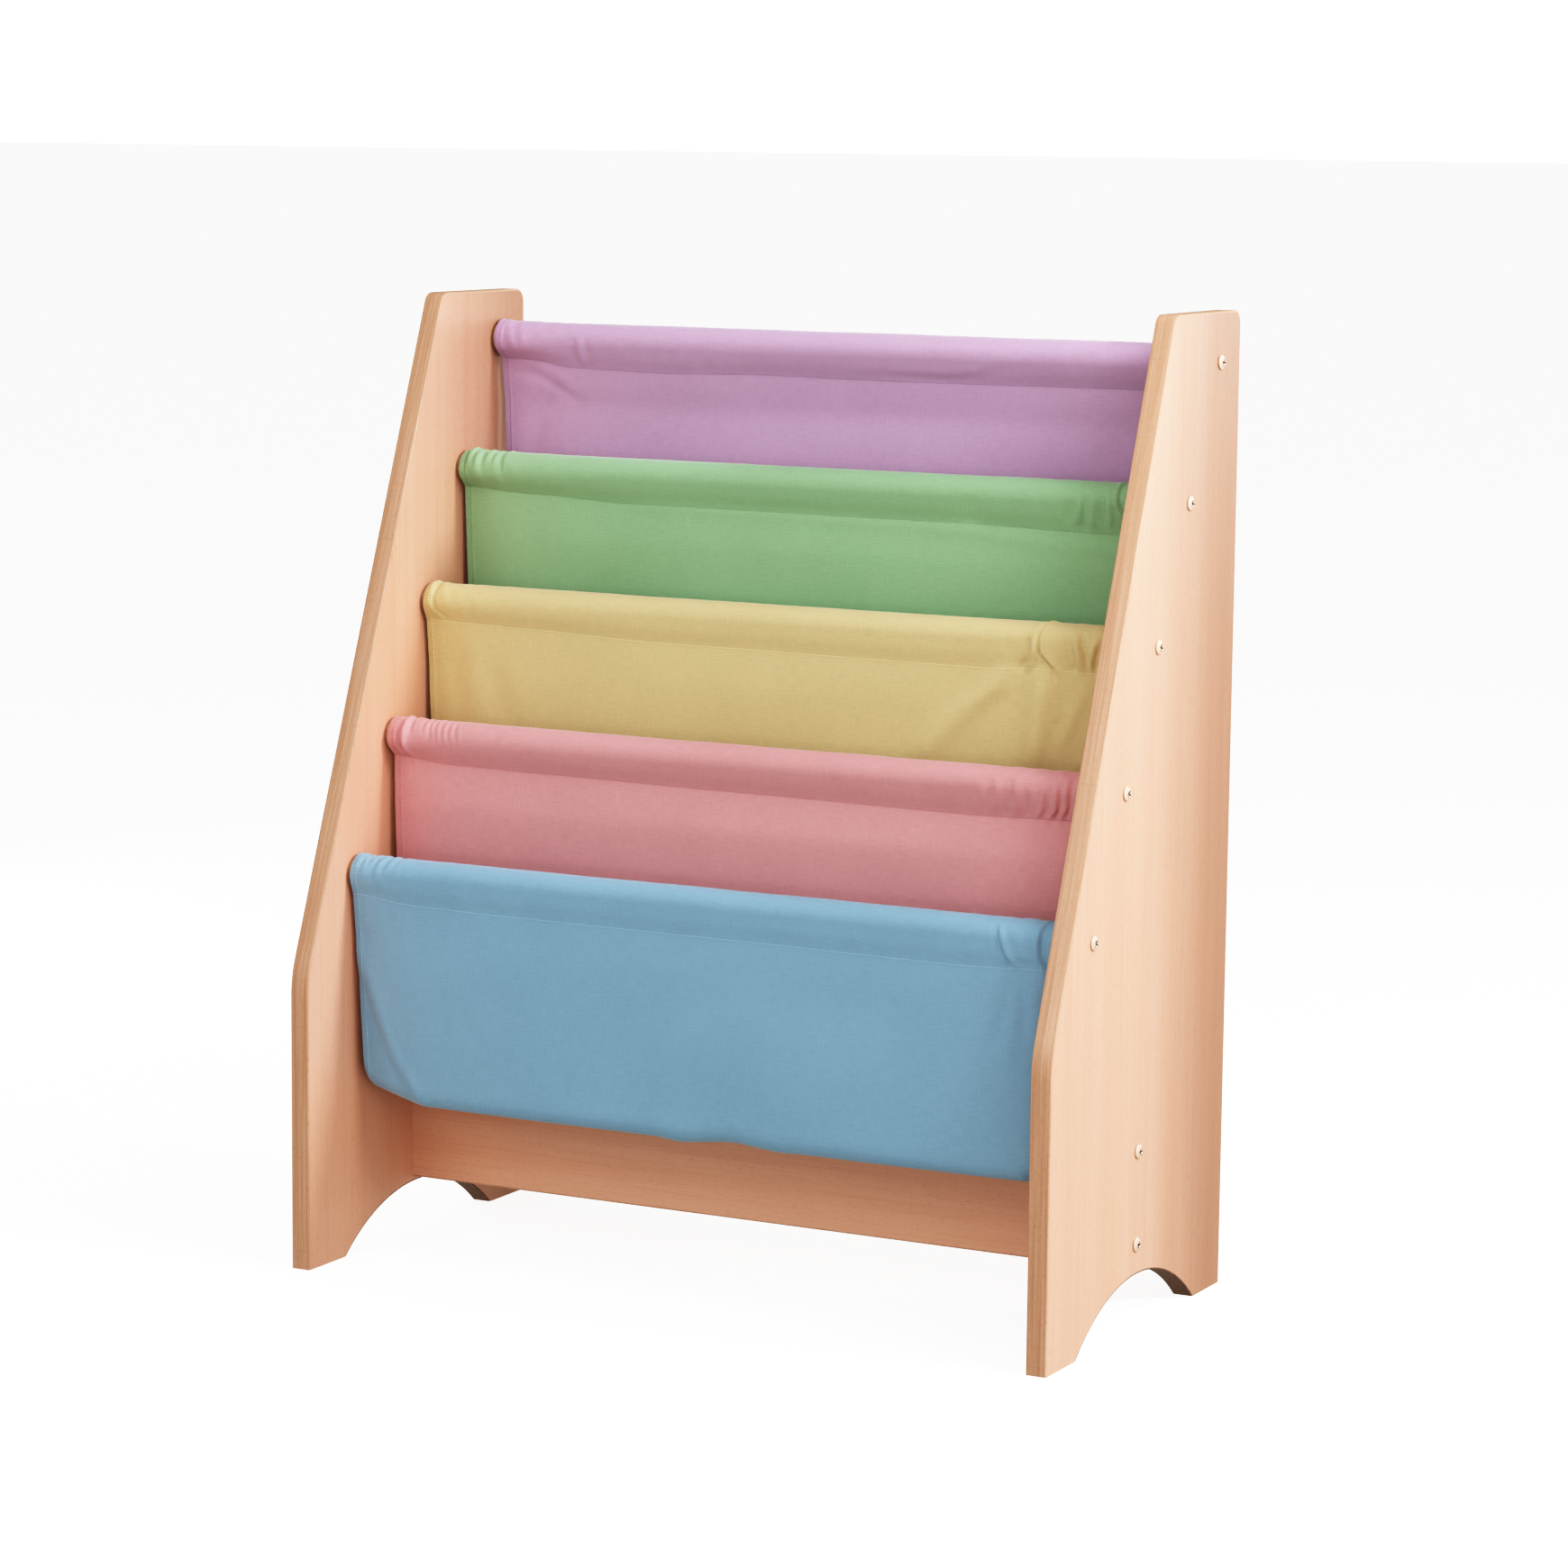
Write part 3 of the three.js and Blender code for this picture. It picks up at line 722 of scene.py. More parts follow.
# The panels from the lowest dowel up. A wall hangs in front of its dowel by lead, a share of
# wall_lead, and its edges draw in below the tunnel by neck. The tunnel's stitch line lies
# stitch_lead in front of the dowel and dips as stitch_drops says, in mm from the left edge
# and mm below the dowel. A crease is down or across the cloth, with its path in mm from the
# left edge and mm above the stitch line. Its width and depth follow in mm, where a negative
# depth raises the cloth, and then its lip, a share of the depth that stands up beside it, on
# the right or above, or where it is negative on the left or below.
yellow_hook = ((518, -2), (516, 3), (511, 9), (507, 12), (506, 17), (506, 24), (510, 40))
# The blue and yellow threads are lighter than their cloth. On pink, green and purple the thread is dark,
# as painted shade of the needle holes.
sling_panels = [
    {
        "name": "blue_sling", "colour": (0.265, 0.425, 0.565, 1), "thread_and_hole_shade": (0.42, 0.66, 0.82, 1),
        "lead": 1.0, "neck": 0.1 * MM, "stitch_lead": 9 * MM,
        "stitch_drops": ((0, 15), (53, 20), (124, 21), (330, 21.5), (492, 22.5), (573, 20)),
        "creases": [
            ("down", ((562, 2), (559, 12), (559, 19), (560, 26), (563, 36)), 1.9, 3.94, -0.5),
            ("down", ((534, 3), (530, 9), (527, 14), (525, 20), (523, 28)), 2.4, 3.0, 0.6),
            ("across", ((530, 4), (545, 5), (562, 4)), 2.4, 0.4, 0.5),
            ("down", ((8, 20), (8, 42)), 1.9, 0.85, 0.7),
            ("down", ((12, 22), (14, 33), (15, 44)), 1.9, 0.78, 0.7),
            ("down", ((18, 20), (21, 31), (22, 44)), 1.9, 0.78, 0.7),
            ("down", ((26, 22), (29, 32), (30, 44)), 2.0, 0.62, 0.7),
            ("down", ((35, 24), (38, 40)), 2.2, 0.46, 0.7),
            ("down", ((545, -48), (543, -3)), 6.0, 2.3, 0.5),
            ("down", ((524, -60), (530, -30), (533, -4)), 6.5, 1.9, 0.5),
        ],
    },
    {
        "name": "pink_sling", "colour": (0.70, 0.345, 0.355, 1), "thread_and_hole_shade": (0.42, 0.13, 0.14, 1),
        "lead": 1.0, "neck": 1.3 * MM, "stitch_lead": 4.5 * MM,
        "stitch_drops": ((0, 14.5), (50, 18.5), (127, 19.5), (300, 21), (478, 22.5), (573, 21)),
        "creases": [
            ("down", ((15, 1), (11, 7), (10, 15), (10, 20), (11, 40)), 2.1, 3.0, 0.8),
            ("down", ((19, 22), (18, 30), (16, 42)), 1.7, 1.08, 0.5),
            ("down", ((29, 24), (27, 42)), 1.7, 0.85, 0.8),
            ("down", ((36, 22), (34, 29), (33, 40)), 1.6, 0.62, 0.8),
            ("down", ((41, 21), (39, 28), (38, 40)), 1.6, 0.62, 0.8),
            ("down", ((47, 19), (45, 27), (44, 40)), 1.6, 0.62, 0.8),
            ("down", ((53, 18), (51, 26), (50, 38)), 1.6, 0.54, 0.8),
            ("down", ((60, 18), (57, 26), (56, 36)), 1.7, 0.46, 0.8),
            ("down", ((94, 18), (93, 30)), 1.6, 0.78, 0.7),
            ("down", ((506, 3), (508, 16), (508, 26)), 4.0, 2.9, 0.6),
            ("down", ((474, 5), (478, 22)), 5.5, 1.62, 0.5),
            ("down", ((490, 6), (494, 26)), 3.6, 1.8, 0.6),
            ("down", ((523, 4), (521, 24)), 3.0, 1.17, 0.6),
            ("down", ((529, 1), (533, 10), (535, 26)), 2.6, -1.5, 0.5),
            ("down", ((538, 0), (543, 10), (545, 26)), 2.4, -2.0, 0.5),
            ("down", ((547, 1), (551, 11), (553, 28)), 2.2, -2.0, 0.5),
            ("down", ((555, 2), (559, 12), (561, 28)), 2.0, -1.8, 0.5),
            ("down", ((563, 3), (566, 13), (567, 26)), 1.8, -1.2, 0.5),
        ],
    },
    {
        "name": "yellow_sling", "colour": (0.69, 0.555, 0.305, 1), "thread_and_hole_shade": (0.93, 0.84, 0.50, 1),
        "lead": 0.95, "neck": 0.1 * MM, "stitch_lead": 8.5 * MM,
        "stitch_drops": ((0, 14), (37, 15), (85, 16.5), (200, 20), (461, 21.5), (503, 19.5), (573, 21)),
        "creases": [
            ("down", ((17, 4), (10, 9), (8, 16), (8, 24), (9, 40)), 2.0, 1.24, -0.8),
            ("down", yellow_hook, 7.0, -1.1, 0.0),
            ("down", yellow_hook, 1.5, 3.0, 0.5),
            ("down", ((493, 0), (495, 5), (498, 19)), 3.0, 4.2, 0.6),
            ("down", ((533, 2), (531, 10), (529, 22)), 2.8, 3.6, 0.5),
            ("down", ((544, 3), (542, 13), (539, 25)), 2.2, 2.6, -0.6),
            ("down", ((548, 1), (550, 10), (554, 23)), 2.3, 2.6, -0.6),
            ("down", ((415, -72), (424, -57), (448, -32), (470, -14), (479, 0)), 12.0, -4.0, 0.0),
            ("down", ((503, -72), (505, -57), (507, -32), (510, -3)), 11.0, -6.0, 0.0),
            ("down", ((522, -60), (532, -35), (540, -12)), 5.5, -1.2, 0.3),
            ("down", ((27, -75), (25, -40), (22, -8)), 9.0, 1.26, 0.3),
            ("down", ((66, -70), (58, -30)), 12.0, 0.92, 0.4),
        ],
    },
    {
        "name": "green_sling", "colour": (0.315, 0.49, 0.295, 1), "thread_and_hole_shade": (0.15, 0.27, 0.14, 1),
        "lead": 0.7, "neck": 0.3 * MM, "stitch_lead": 5 * MM,
        "stitch_drops": ((0, 13.5), (60, 17), (144, 20.5), (412, 21.5), (539, 24), (573, 24)),
        "creases": [
            ("down", ((4, 16), (4, 26), (6, 44)), 1.8, 1.24, 0.7),
            ("down", ((11, 20), (11, 30), (13, 44)), 1.8, 1.24, 0.7),
            ("down", ((19, 20), (19, 32), (20, 44)), 1.8, 1.08, 0.7),
            ("down", ((27, 24), (28, 42)), 1.8, 0.78, 0.7),
            ("down", ((36, 18), (35, 30), (36, 40)), 1.8, 0.93, 0.7),
            ("down", ((553, 5), (548, 15), (545, 22), (544, 29), (545, 42)), 1.8, 3.4, -0.6),
            ("down", ((531, 8), (531, 26)), 2.4, 3.0, 0.6),
            ("down", ((516, 5), (518, 25)), 2.8, 2.9, 0.6),
            ("down", ((503, 8), (506, 22)), 3.6, 2.2, 0.6),
            ("across", ((150, -2), (300, -3), (412, -5), (498, -11), (560, -13)), 5.5, -0.6, 0.0),
            ("down", ((428, 2), (432, 20)), 7.0, 1.6, 0.5),
        ],
    },
    {
        "name": "purple_sling", "colour": (0.58, 0.38, 0.555, 1), "thread_and_hole_shade": (0.26, 0.15, 0.30, 1),
        "lead": -0.5, "neck": 0, "stitch_lead": 1.5 * MM,
        "stitch_drops": ((0, 15), (20, 15.5), (65, 21), (140, 22.5), (228, 21), (340, 22), (573, 21)),
        "creases": [
            ("down", ((67, 6), (68, 24)), 3.2, 1.3, 0.6),
            ("down", ((79, 7), (80, 24)), 3.0, 0.78, 0.6),
            ("down", ((100, 5), (98, 20)), 5.0, 0.46, 0.6),
            ("down", ((117, 5), (117, 22)), 3.2, 1.2, 0.6),
            ("down", ((135, 5), (134, 20)), 3.2, 1.0, 0.6),
            ("down", ((152, 6), (152, 20)), 4.0, 0.46, 0.6),
            ("down", ((178, 4), (180, 20)), 5.0, 0.62, 0.6),
            ("across", ((6, -9), (29, -11), (44, -16), (66, -26)), 5.0, 0.8, 0.5),
            ("across", ((328, 5), (385, 3), (410, 8), (430, 14)), 3.6, 0.5, 0.6),
            ("down", ((22, -75), (30, -45), (44, -20)), 9.0, 1.61, -0.4),
        ],
    },
]

weave_pitch = 0.55 * MM
# The width, the stretch and the tone of the thick places in the threads
warp_slub = (0.8 * MM, 14, 0.028)
weft_slub = (0.7 * MM, 15, 0.045)
mottle_width = 60 * MM
mottle_tone = 0.015
slub_height = 0.06
canvas_relief = (0.3, 0.2 * MM)
canvas_roughness = 0.85
canvas_gloss = 0.25
canvas_sheen = 0.45
canvas_sheen_roughness = 0.35


def canvas(name, colour):
    """Plain weave on the cloth's own UV map, which is in metres, with slubs in both threads."""
    material, tree, shader = surface(
        name, canvas_roughness, Specular_IOR_Level=canvas_gloss,
        Sheen_Weight=canvas_sheen, Sheen_Roughness=canvas_sheen_roughness,
    )
    place = node(tree, "ShaderNodeUVMap", uv_map="cloth").outputs[0]
    turns = node(tree, "ShaderNodeVectorMath", {
        0: place, 1: [2 * math.pi / weave_pitch] * 3,
    }, operation="MULTIPLY").outputs[0]
    threads = node(tree, "ShaderNodeSeparateXYZ", {0: turns})
    warp = node(tree, "ShaderNodeMath", {0: threads.outputs["X"]}, operation="SINE").outputs[0]
    weft = node(tree, "ShaderNodeMath", {0: threads.outputs["Y"]}, operation="SINE").outputs[0]
    weave = reckoned(tree, warp, "MULTIPLY", weft)

    def slub(width, stretch, tone, axis):
        thickened = noise_along(tree, place, width, stretch, axis, detail=1.0)
        return spread(tree, thickened, *noise_middle, -tone, tone)

    slubs = reckoned(tree, slub(*warp_slub, 1), "ADD", slub(*weft_slub, 0))
    mottle = noise_along(tree, place, mottle_width, 1, 0, detail=1.0)
    brightness = spread(tree, mottle, *noise_middle, 1 - mottle_tone, 1 + mottle_tone)
    tint = node(tree, "ShaderNodeHueSaturation", {
        "Color": colour, "Value": reckoned(tree, slubs, "ADD", brightness),
    })
    tree.links.new(tint.outputs[0], shader.inputs["Base Color"])
    slub_relief = spread(tree, slubs, -slub_height, slub_height)
    height = reckoned(tree, spread(tree, weave, -1.0, 1.0), "ADD", slub_relief)
    bumped(tree, shader, height, *canvas_relief)
    return material


def smooth_share(value, low, high):
    """0 below low and 1 above high, with an eased rise between them."""
    share = np.clip((value - low) / (high - low), 0, 1)
    return share * share * (3 - 2 * share)


# The mesh is fine at the side hems and the gathered ends, at the stitch lines and on the
# tunnels. Each run's pitches are a fine and a coarse one, how far from an end the fine one
# holds, and where the coarse one starts.
graded_samples = 4000
hem_columns = (0, 0.5, 2.0, 4.0, 5.6, 6.3, 6.9, 8.0)
column_pitches = (0.9 * MM, 5.5 * MM, 50 * MM, 120 * MM)
wall_pitches = (1.5 * MM, 6 * MM, 0, 70 * MM)
tunnel_pitches = (1.2 * MM, 1.7 * MM, 0, 20 * MM)
tunnel_samples = 60
bend_samples = 15
bend_limit = 0.48


def graded(length, fine, coarse, hold, reach, ends):
    """Distances along a run, fine for hold from the given ends (0 and 1) and coarse past reach."""
    run = np.linspace(0, length, graded_samples)
    away = np.min([np.abs(run - end * length) for end in ends], axis=0)
    pitch = fine + (coarse - fine) * smooth_share(away, hold, reach)
    count = np.concatenate([[0], np.cumsum(np.diff(run) / pitch[1:])])
    return np.interp(np.linspace(0, count[-1], round(count[-1]) + 1), count, run)


def column_places():
    """Distances from the left edge, closest together at the two side hems."""
    hem = np.array(hem_columns) * MM
    inner = graded(2 * (half_width - hem[-1]), *column_pitches, (0, 1)) + hem[-1]
    return np.concatenate([hem[:-1], inner, (2 * half_width - hem[:-1])[::-1]])


from_left = column_places()
from_right = 2 * half_width - from_left
shares = from_left / half_width - 1
columns = len(shares)

# 1 at a side edge, falling to 0 where the ear fold ends
ear_share = 1 - smooth_share(from_left, 0, left_ear) * smooth_share(from_right, 0, right_ear)


def ear_rise(distance, width):
    """How far a pocket's floor rides up near a side edge: a slanting fold with a round corner."""
    corner = np.clip(1 - distance / ear_corner_width, 0, 1)
    return ear_ramp * np.clip(1 - distance / width, 0, 1) + ear_corner * (1 - np.sqrt(1 - corner ** 2))


floor_rise = ear_rise(from_left, left_ear) + ear_rise(from_right, right_ear)


def pair(back, up):
    """Places in the side view about a dowel, one for each column of the cloth."""
    return np.stack(np.broadcast_arrays(back, up, shares)[:2], axis=-1)


def eased(points, at):
    """A value read off a row of (place, value) points, level at each point."""
    places, values = np.array(points, float).T * MM
    number = np.clip(np.searchsorted(places, at) - 1, 0, len(places) - 2)
    share = smooth_share(at, places[number], places[number + 1])
    return values[number] * (1 - share) + values[number + 1] * share


def wall_back(panel, layer):
    """How far behind its dowel a wall hangs, layer -1 in front and 1 behind."""
    slack = (wall_lead - edge_lead) * ear_share
    belly = belly_bulge * (1 - shares ** 2)
    return -panel["lead"] * (wall_lead - slack + belly) + layer * layer_pitch / 2


def stitch_place(panel, layer):
    drops = eased(panel["stitch_drops"], from_left)
    return pair(-panel["stitch_lead"] + layer * layer_pitch / 2, -drops)


def shoulder_place(panel, layer):
    return pair(wall_back(panel, layer), -shoulder_drop)


def back_turn(panel):
    return pair(wall_back(panel, -1), -pocket_drop - back_turn_below)


def seam_behind(back_panel):
    """The back wall's foot about the pocket's front dowel, its rise, and the way to its lap."""
    foot = pair(seam_setback, -seam_drop)
    rise = back_turn(back_panel) + np.array((step_back, step_up)) - foot
    rise /= np.linalg.norm(rise, axis=-1, keepdims=True)
    behind = np.stack([rise[:, 1], -rise[:, 0]], axis=-1) * lap_pitch
    return foot, rise, behind


def soft_line(corners):
    """A line for each column with rounded corners, as an array of point, column, (back, up)."""
    points = []
    for number, (corner, radius) in enumerate(corners):
        if not radius:
            points.append(corner)
            continue
        before = corners[number - 1][0] - corner
        after = corners[number + 1][0] - corner
        before_length = np.linalg.norm(before, axis=-1, keepdims=True)
        after_length = np.linalg.norm(after, axis=-1, keepdims=True)
        before, after = before / before_length, after / after_length
        turn = math.pi - np.arccos(np.clip((before * after).sum(-1, keepdims=True), -1, 1))
        room = bend_limit * np.minimum(before_length, after_length)
        reach = np.minimum(radius * np.tan(turn / 2), room)
        for share in np.linspace(0, 1, bend_samples):
            points.append(corner + before * reach * (1 - share) ** 2 + after * reach * share ** 2)
    return np.array(points)


def back_wall(panel):
    foot = seam_behind(panel)[0] - np.array((step_back, step_up))
    return soft_line([
        (foot, 0),
        (back_turn(panel), back_turn_radius),
        (shoulder_place(panel, -1), shoulder_radius),
        (stitch_place(panel, -1), 0),
    ])


def tunnel(panel):
    """The loop from the front of the stitch line over the dowel to its rear, taut on the dowel."""
    middle = dowel_radius + tunnel_slack + cloth / 2
    ends = []
    for layer in (-1, 1):
        back, up = stitch_place(panel, layer).T
        ends.append(np.arctan2(up, back) + layer * np.arccos(middle / np.hypot(back, up)))
    start = ends[0] % (2 * math.pi)
    loop = [stitch_place(panel, -1)]
    for share in np.linspace(0, 1, tunnel_samples):
        turn = start + (ends[1] - start) * share
        loop.append(pair(middle * np.cos(turn), middle * np.sin(turn)))
    loop.append(stitch_place(panel, 1))
    return np.array(loop)


def front_wall_and_floor(panel, back_panel, layer, lift):
    foot, rise, behind = seam_behind(back_panel)
    return soft_line([
        (stitch_place(panel, layer), 0),
        (shoulder_place(panel, layer), shoulder_radius),
        (pair(wall_back(panel, layer), floor_rise - pocket_drop + lift), floor_bend),
        (foot - rise * (2 * seam_bend + cloth) + behind, seam_bend),
        (foot + rise * lap_length + behind, 0),
    ])


def tunnel_hem(panel):
    wall = shoulder_place(panel, -1) - stitch_place(panel, -1)
    wall /= np.linalg.norm(wall, axis=-1, keepdims=True)
    stitch = stitch_place(panel, 1)
    return np.array([stitch, stitch + wall * hem_length])


def hump(value, middle, width):
    """1 at the middle, falling off to both sides over the width. Both are in mm."""
    return np.exp(-((value - middle * MM) / (width * MM)) ** 2)


# The front pocket's lower edge rucks up right of its middle. Each hump has its rise, its
# place right of the middle and its width in mm.
rucks = ((2.6, 31, 18), (-2.2, -13, 13), (-0.8, 70, 14))


def ruck_lift(across):
    return sum(height * hump(across, middle, width) for height, middle, width in rucks) * MM


def courses_of(index):
    """The runs of a panel from its first edge to its last, as (kind, line, ends that get fine rows)."""
    panel = sling_panels[index]
    if index == 0:
        lift = ruck_lift(shares * half_width)
        wall = front_wall_and_floor(panel, sling_panels[1], -1, lift)
        return [
            ("hem", tunnel_hem(panel)[::-1], (1,)),
            ("tunnel", tunnel(panel)[::-1], (0, 1)),
            ("wall", wall, (0,)),
        ]
    courses = [("wall", back_wall(panel), (1,)), ("tunnel", tunnel(panel), (0, 1))]
    if index + 1 < len(sling_panels):
        courses.append(("wall", front_wall_and_floor(panel, sling_panels[index + 1], 1, 0), (0,)))
    else:
        courses.append(("hem", tunnel_hem(panel), (0,)))
    return courses


def run_down(line):
    """How far down its column's line each point lies."""
    steps = np.linalg.norm(np.diff(line, axis=0), axis=-1)
    return np.vstack([np.zeros(columns), np.cumsum(steps, axis=0)])


def rows_along(line, pitches, ends):
    """The line of each column cut into rows that are spaced alike, finest at the given ends."""
    run = run_down(line)
    rows = graded(run[-1, columns // 2], *pitches, ends) / run[-1, columns // 2]
    even = np.empty((len(rows), columns, 2))
    for column in range(columns):
        at = rows * run[-1, column]
        for axis in (0, 1):
            even[:, column, axis] = np.interp(at, run[:, column], line[:, column, axis])
    return even


def noise_field(across, along, kind, index):
    """Noise on the cloth, of a kind given as its size across and along and its seed."""
    width, length, seed = kind
    flat = [
        noise.noise((x / width, y / length, seed + index))
        for x, y in zip(across.ravel(), along.ravel())
    ]
    return np.array(flat).reshape(across.shape)


# A crease fades in and out over a share of its length, within limits. Its lip's middle and
# width are in widths of the crease.
crease_fade_share = 0.3
crease_fade_least = 3 * MM
crease_fade_most = 25 * MM
lip_offset = 1.7
lip_width = 1.2


def creased(panel, across, above):
    """How far the panel's creases move the cloth out of its plane."""
    moved = np.zeros(across.shape)
    for way, path, width, depth, lip in panel["creases"]:
        x, y = np.array(path, float).T * MM
        if way == "down":
            along, off = above, across - np.interp(above, y, x)
            start, end = y[0], y[-1]
        else:
            along, off = across, above - np.interp(across, x, y)
            start, end = x[0], x[-1]
        fade = np.clip(crease_fade_share * (end - start), crease_fade_least, crease_fade_most)
        window = smooth_share(along, start - fade, start + fade)
        window = window * (1 - smooth_share(along, end - fade, end + fade))
        off = off / (width * MM)
        groove = np.exp(-off ** 2)
        ridge = abs(lip) * np.exp(-((off - lip_offset * np.sign(lip)) / lip_width) ** 2)
        moved += window * depth * MM * (ridge - groove)
    return moved


# The dog-ear's slanting crease as (up, across) in mm from the middle of the lowest dowel. The
# wall steps back left of it over pleat_run, and stands up in a low ridge right of it.
pleat_crease = ((-172, -232), (-158, -242), (-139, -257), (-112, -268), (-78, -281), (-50, -290))
pleat_step = 2.6 * MM
pleat_run = (-1 * MM, 6 * MM)
pleat_ridge = 0.7 * MM
pleat_ridge_place = (-5, 4)
pleat_fade = (40 * MM, 80 * MM)


def pleat_depth(across, up):
    """The dog-ear of the front pocket: left of a slanting crease the wall steps back."""
    heights, places = np.array(pleat_crease).T * MM
    left_of = np.interp(up, heights, places) - across
    step = smooth_share(left_of, *pleat_run) * pleat_step
    ridge = pleat_ridge * hump(left_of, *pleat_ridge_place)
    return (step - ridge) * smooth_share(-up, *pleat_fade)


# The cloth gathers towards its side edges over these widths, less strongly on the right
left_gather = 26 * MM
right_gather = 38 * MM
right_gather_share = 0.9
gather = np.exp(-from_left / left_gather) + right_gather_share * np.exp(-from_right / right_gather)
# The kinds of noise in the cloth, each with its size across and along and its seed
swell_noise = (48 * MM, 90 * MM, 9.7)
fold_noise = (8 * MM, 55 * MM, 3.1)
ripple_noise = (11 * MM, 60 * MM, 14.2)
drag_noise = (22 * MM, 90 * MM, 5.9)
sway_noise = (135 * MM, 105 * MM, 21.3)
# The pillow of cloth on a dowel: how far it stands off in mm, and how far its swell, its
# slack and its folds add to that. The lower pillow_fullness, the fuller are its two sides.
# It is slack where the stitch line dips less than taut_drop, most so slack_range above that.
pillow_rise = 0.3
pillow_swell = 0.35
pillow_slack = 0.8
pillow_fullness = 0.6
taut_drop = 21 * MM
slack_range = 7 * MM
fold_rise = 0.15
fold_gather = 1.9
fold_least = -0.3
fold_lean = 0.35
# The rolls of cloth just above the stitch line, as the place and width of each in mm along
# the loop from the front or the rear stitches, and how far each stands off in mm
front_roll = (9, 7)
front_roll_rise = 1.1
front_roll_slack = 0.8
front_roll_ripple = 0.8
rear_roll = (8, 7)
rear_roll_rise = 0.8
end_roll = (15, 13)
end_roll_rise = 1.2


def pillow(index, across, above, behind, loop, drops):
    """How far the cloth stands off its dowel, between its front and its rear stitches."""
    slack = np.clip((taut_drop - drops) / slack_range, 0, 1)
    swell = noise_field(across, above, swell_noise, index)
    folds = noise_field(across + fold_lean * above, above, fold_noise, index)
    ripple = noise_field(across, above, ripple_noise, index)
    rise = pillow_rise + pillow_swell * swell + pillow_slack * slack
    rise += (fold_rise + fold_gather * gather) * np.clip(folds, fold_least, 1)
    front_rise = front_roll_rise + front_roll_slack * slack + front_roll_ripple * ripple
    rise += front_rise * hump(above, *front_roll) + rear_roll_rise * hump(behind, *rear_roll)
    rise += end_roll_rise * gather * hump(above, *end_roll)
    window = np.clip(np.sin(math.pi * np.clip(above / loop, 0, 1)), 0, 1) ** pillow_fullness
    return rise * (window * MM)


# Drag folds spread from the stitches, fading over stitch_fade on the dowel and over
# drag_fade down the walls
drag_rise = 0.55 * MM
drag_least = 0.35
drag_lean = 0.5
stitch_fade = 5 * MM
drag_fade = 45 * MM


def folded(panel, index, across, up, above, behind, on_dowel):
    """How far the creases and the drag folds move the cloth out of its plane."""
    below = np.clip(-above, 0, None)
    from_stitch = np.minimum(above, behind)
    drag = noise_field(across + drag_lean * below, up, drag_noise, index)
    drag = drag * drag_rise * (drag_least + gather)
    drag *= np.where(on_dowel, np.exp(-from_stitch / stitch_fade), np.exp(-below / drag_fade))
    at_stitch = creased(panel, from_left, np.zeros(columns)) * np.exp(-behind / stitch_fade)
    rear = on_dowel & (behind < above)
    return np.where(rear, at_stitch, creased(panel, across, above)) + drag


# Past radial_start from the stitches the folds move the cloth out from the dowel and no
# longer forward, and they sink it by pillow_sink at most
radial_start = 9 * MM
pillow_sink = 0.3 * MM
# The walls sway by this, from sway_start below the stitch line on, but not beside the laps
sway_depth = 2.6 * MM
sway_start = (8 * MM, 60 * MM)
lap_fade = (2 * lap_length, 5 * lap_length)
# Farther than any fade reaches
far_off = 1


def hung(panel, index, side_view, kinds):
    """The side view of a panel with its pillow over the dowel, creases, drag folds and sway."""
    back, up = side_view[..., 0], side_view[..., 1]
    across = np.broadcast_to(from_left, back.shape)
    drops = eased(panel["stitch_drops"], from_left)
    on_dowel = (kinds == "tunnel")[:, None]
    run = run_down(side_view)
    first, last = np.flatnonzero(on_dowel)[[0, -1]]
    first -= 1
    front = last if index == 0 else first
    loop = run[last] - run[first]
    # How far each place lies above the front stitches, and from the rear ones
    above = np.where(on_dowel, np.abs(run - run[front]), up + drops)
    behind = np.where(on_dowel, loop - above, far_off)

    folds = folded(panel, index, across, up, above, behind, on_dowel)
    radial = np.where(on_dowel, smooth_share(np.minimum(above, behind), 0, radial_start), 0)
    outward = pillow(index, across, above, behind, loop, drops) + folds * radial
    outward = np.where(on_dowel, np.maximum(outward, -pillow_sink), 0)
    sway = noise_field(across, up, sway_noise, index) * sway_depth
    sway *= smooth_share(np.clip(-above, 0, None), *sway_start)
    forward = folds * (1 - radial) - np.where(on_dowel, 0, sway)
    laps = [run] if index else []
    if index + 1 < len(sling_panels):
        laps.append(run[-1] - run)
    forward *= smooth_share(np.min(laps, axis=0), *lap_fade)
    if index == 0:
        on_wall = (kinds == "wall")[:, None]
        forward = forward - np.where(on_wall, pleat_depth(across - half_width, up), 0)
    reach = np.hypot(back, up)
    return back + outward * back / reach - forward, up + outward * up / reach


def cloth_form(places, run):
    """A grid of cloth with its flat UV map, and with the weights of its side hems."""
    rows = len(places)
    form = bmesh.new()
    bmesh.ops.create_grid(form, x_segments=columns - 1, y_segments=rows - 1, size=1)
    cells = [
        (round((vert.co.y + 1) / 2 * (rows - 1)), round((vert.co.x + 1) / 2 * (columns - 1)))
        for vert in form.verts
    ]
    uv = form.loops.layers.uv.new("cloth")
    weights = form.verts.layers.deform.new()
    form.verts.index_update()
    for vert, (row, column) in zip(form.verts, cells):
        vert.co = places[row, column]
        hemmed = min(from_left[column], from_right[column]) < side_hem
        vert[weights][0] = 1.0 if hemmed else 0.0
    for face in form.faces:
        face.smooth = True
        for corner in face.loops:
            row, column = cells[corner.vert.index]
            corner[uv].uv = (from_left[column], run[row])
    return form


# The threads stand out a little from the cloth that they are pulled into
stitch_length = 1.25 * MM
stitch_pitch = 2.1 * MM
stitch_thickness = 0.65 * MM
stitch_lift = 0.05 * MM
hem_stitch_inset = 4.8 * MM
thread_roughness = 0.6
thread_sheen = 0.3
thread_crisp_angle = math.radians(80)


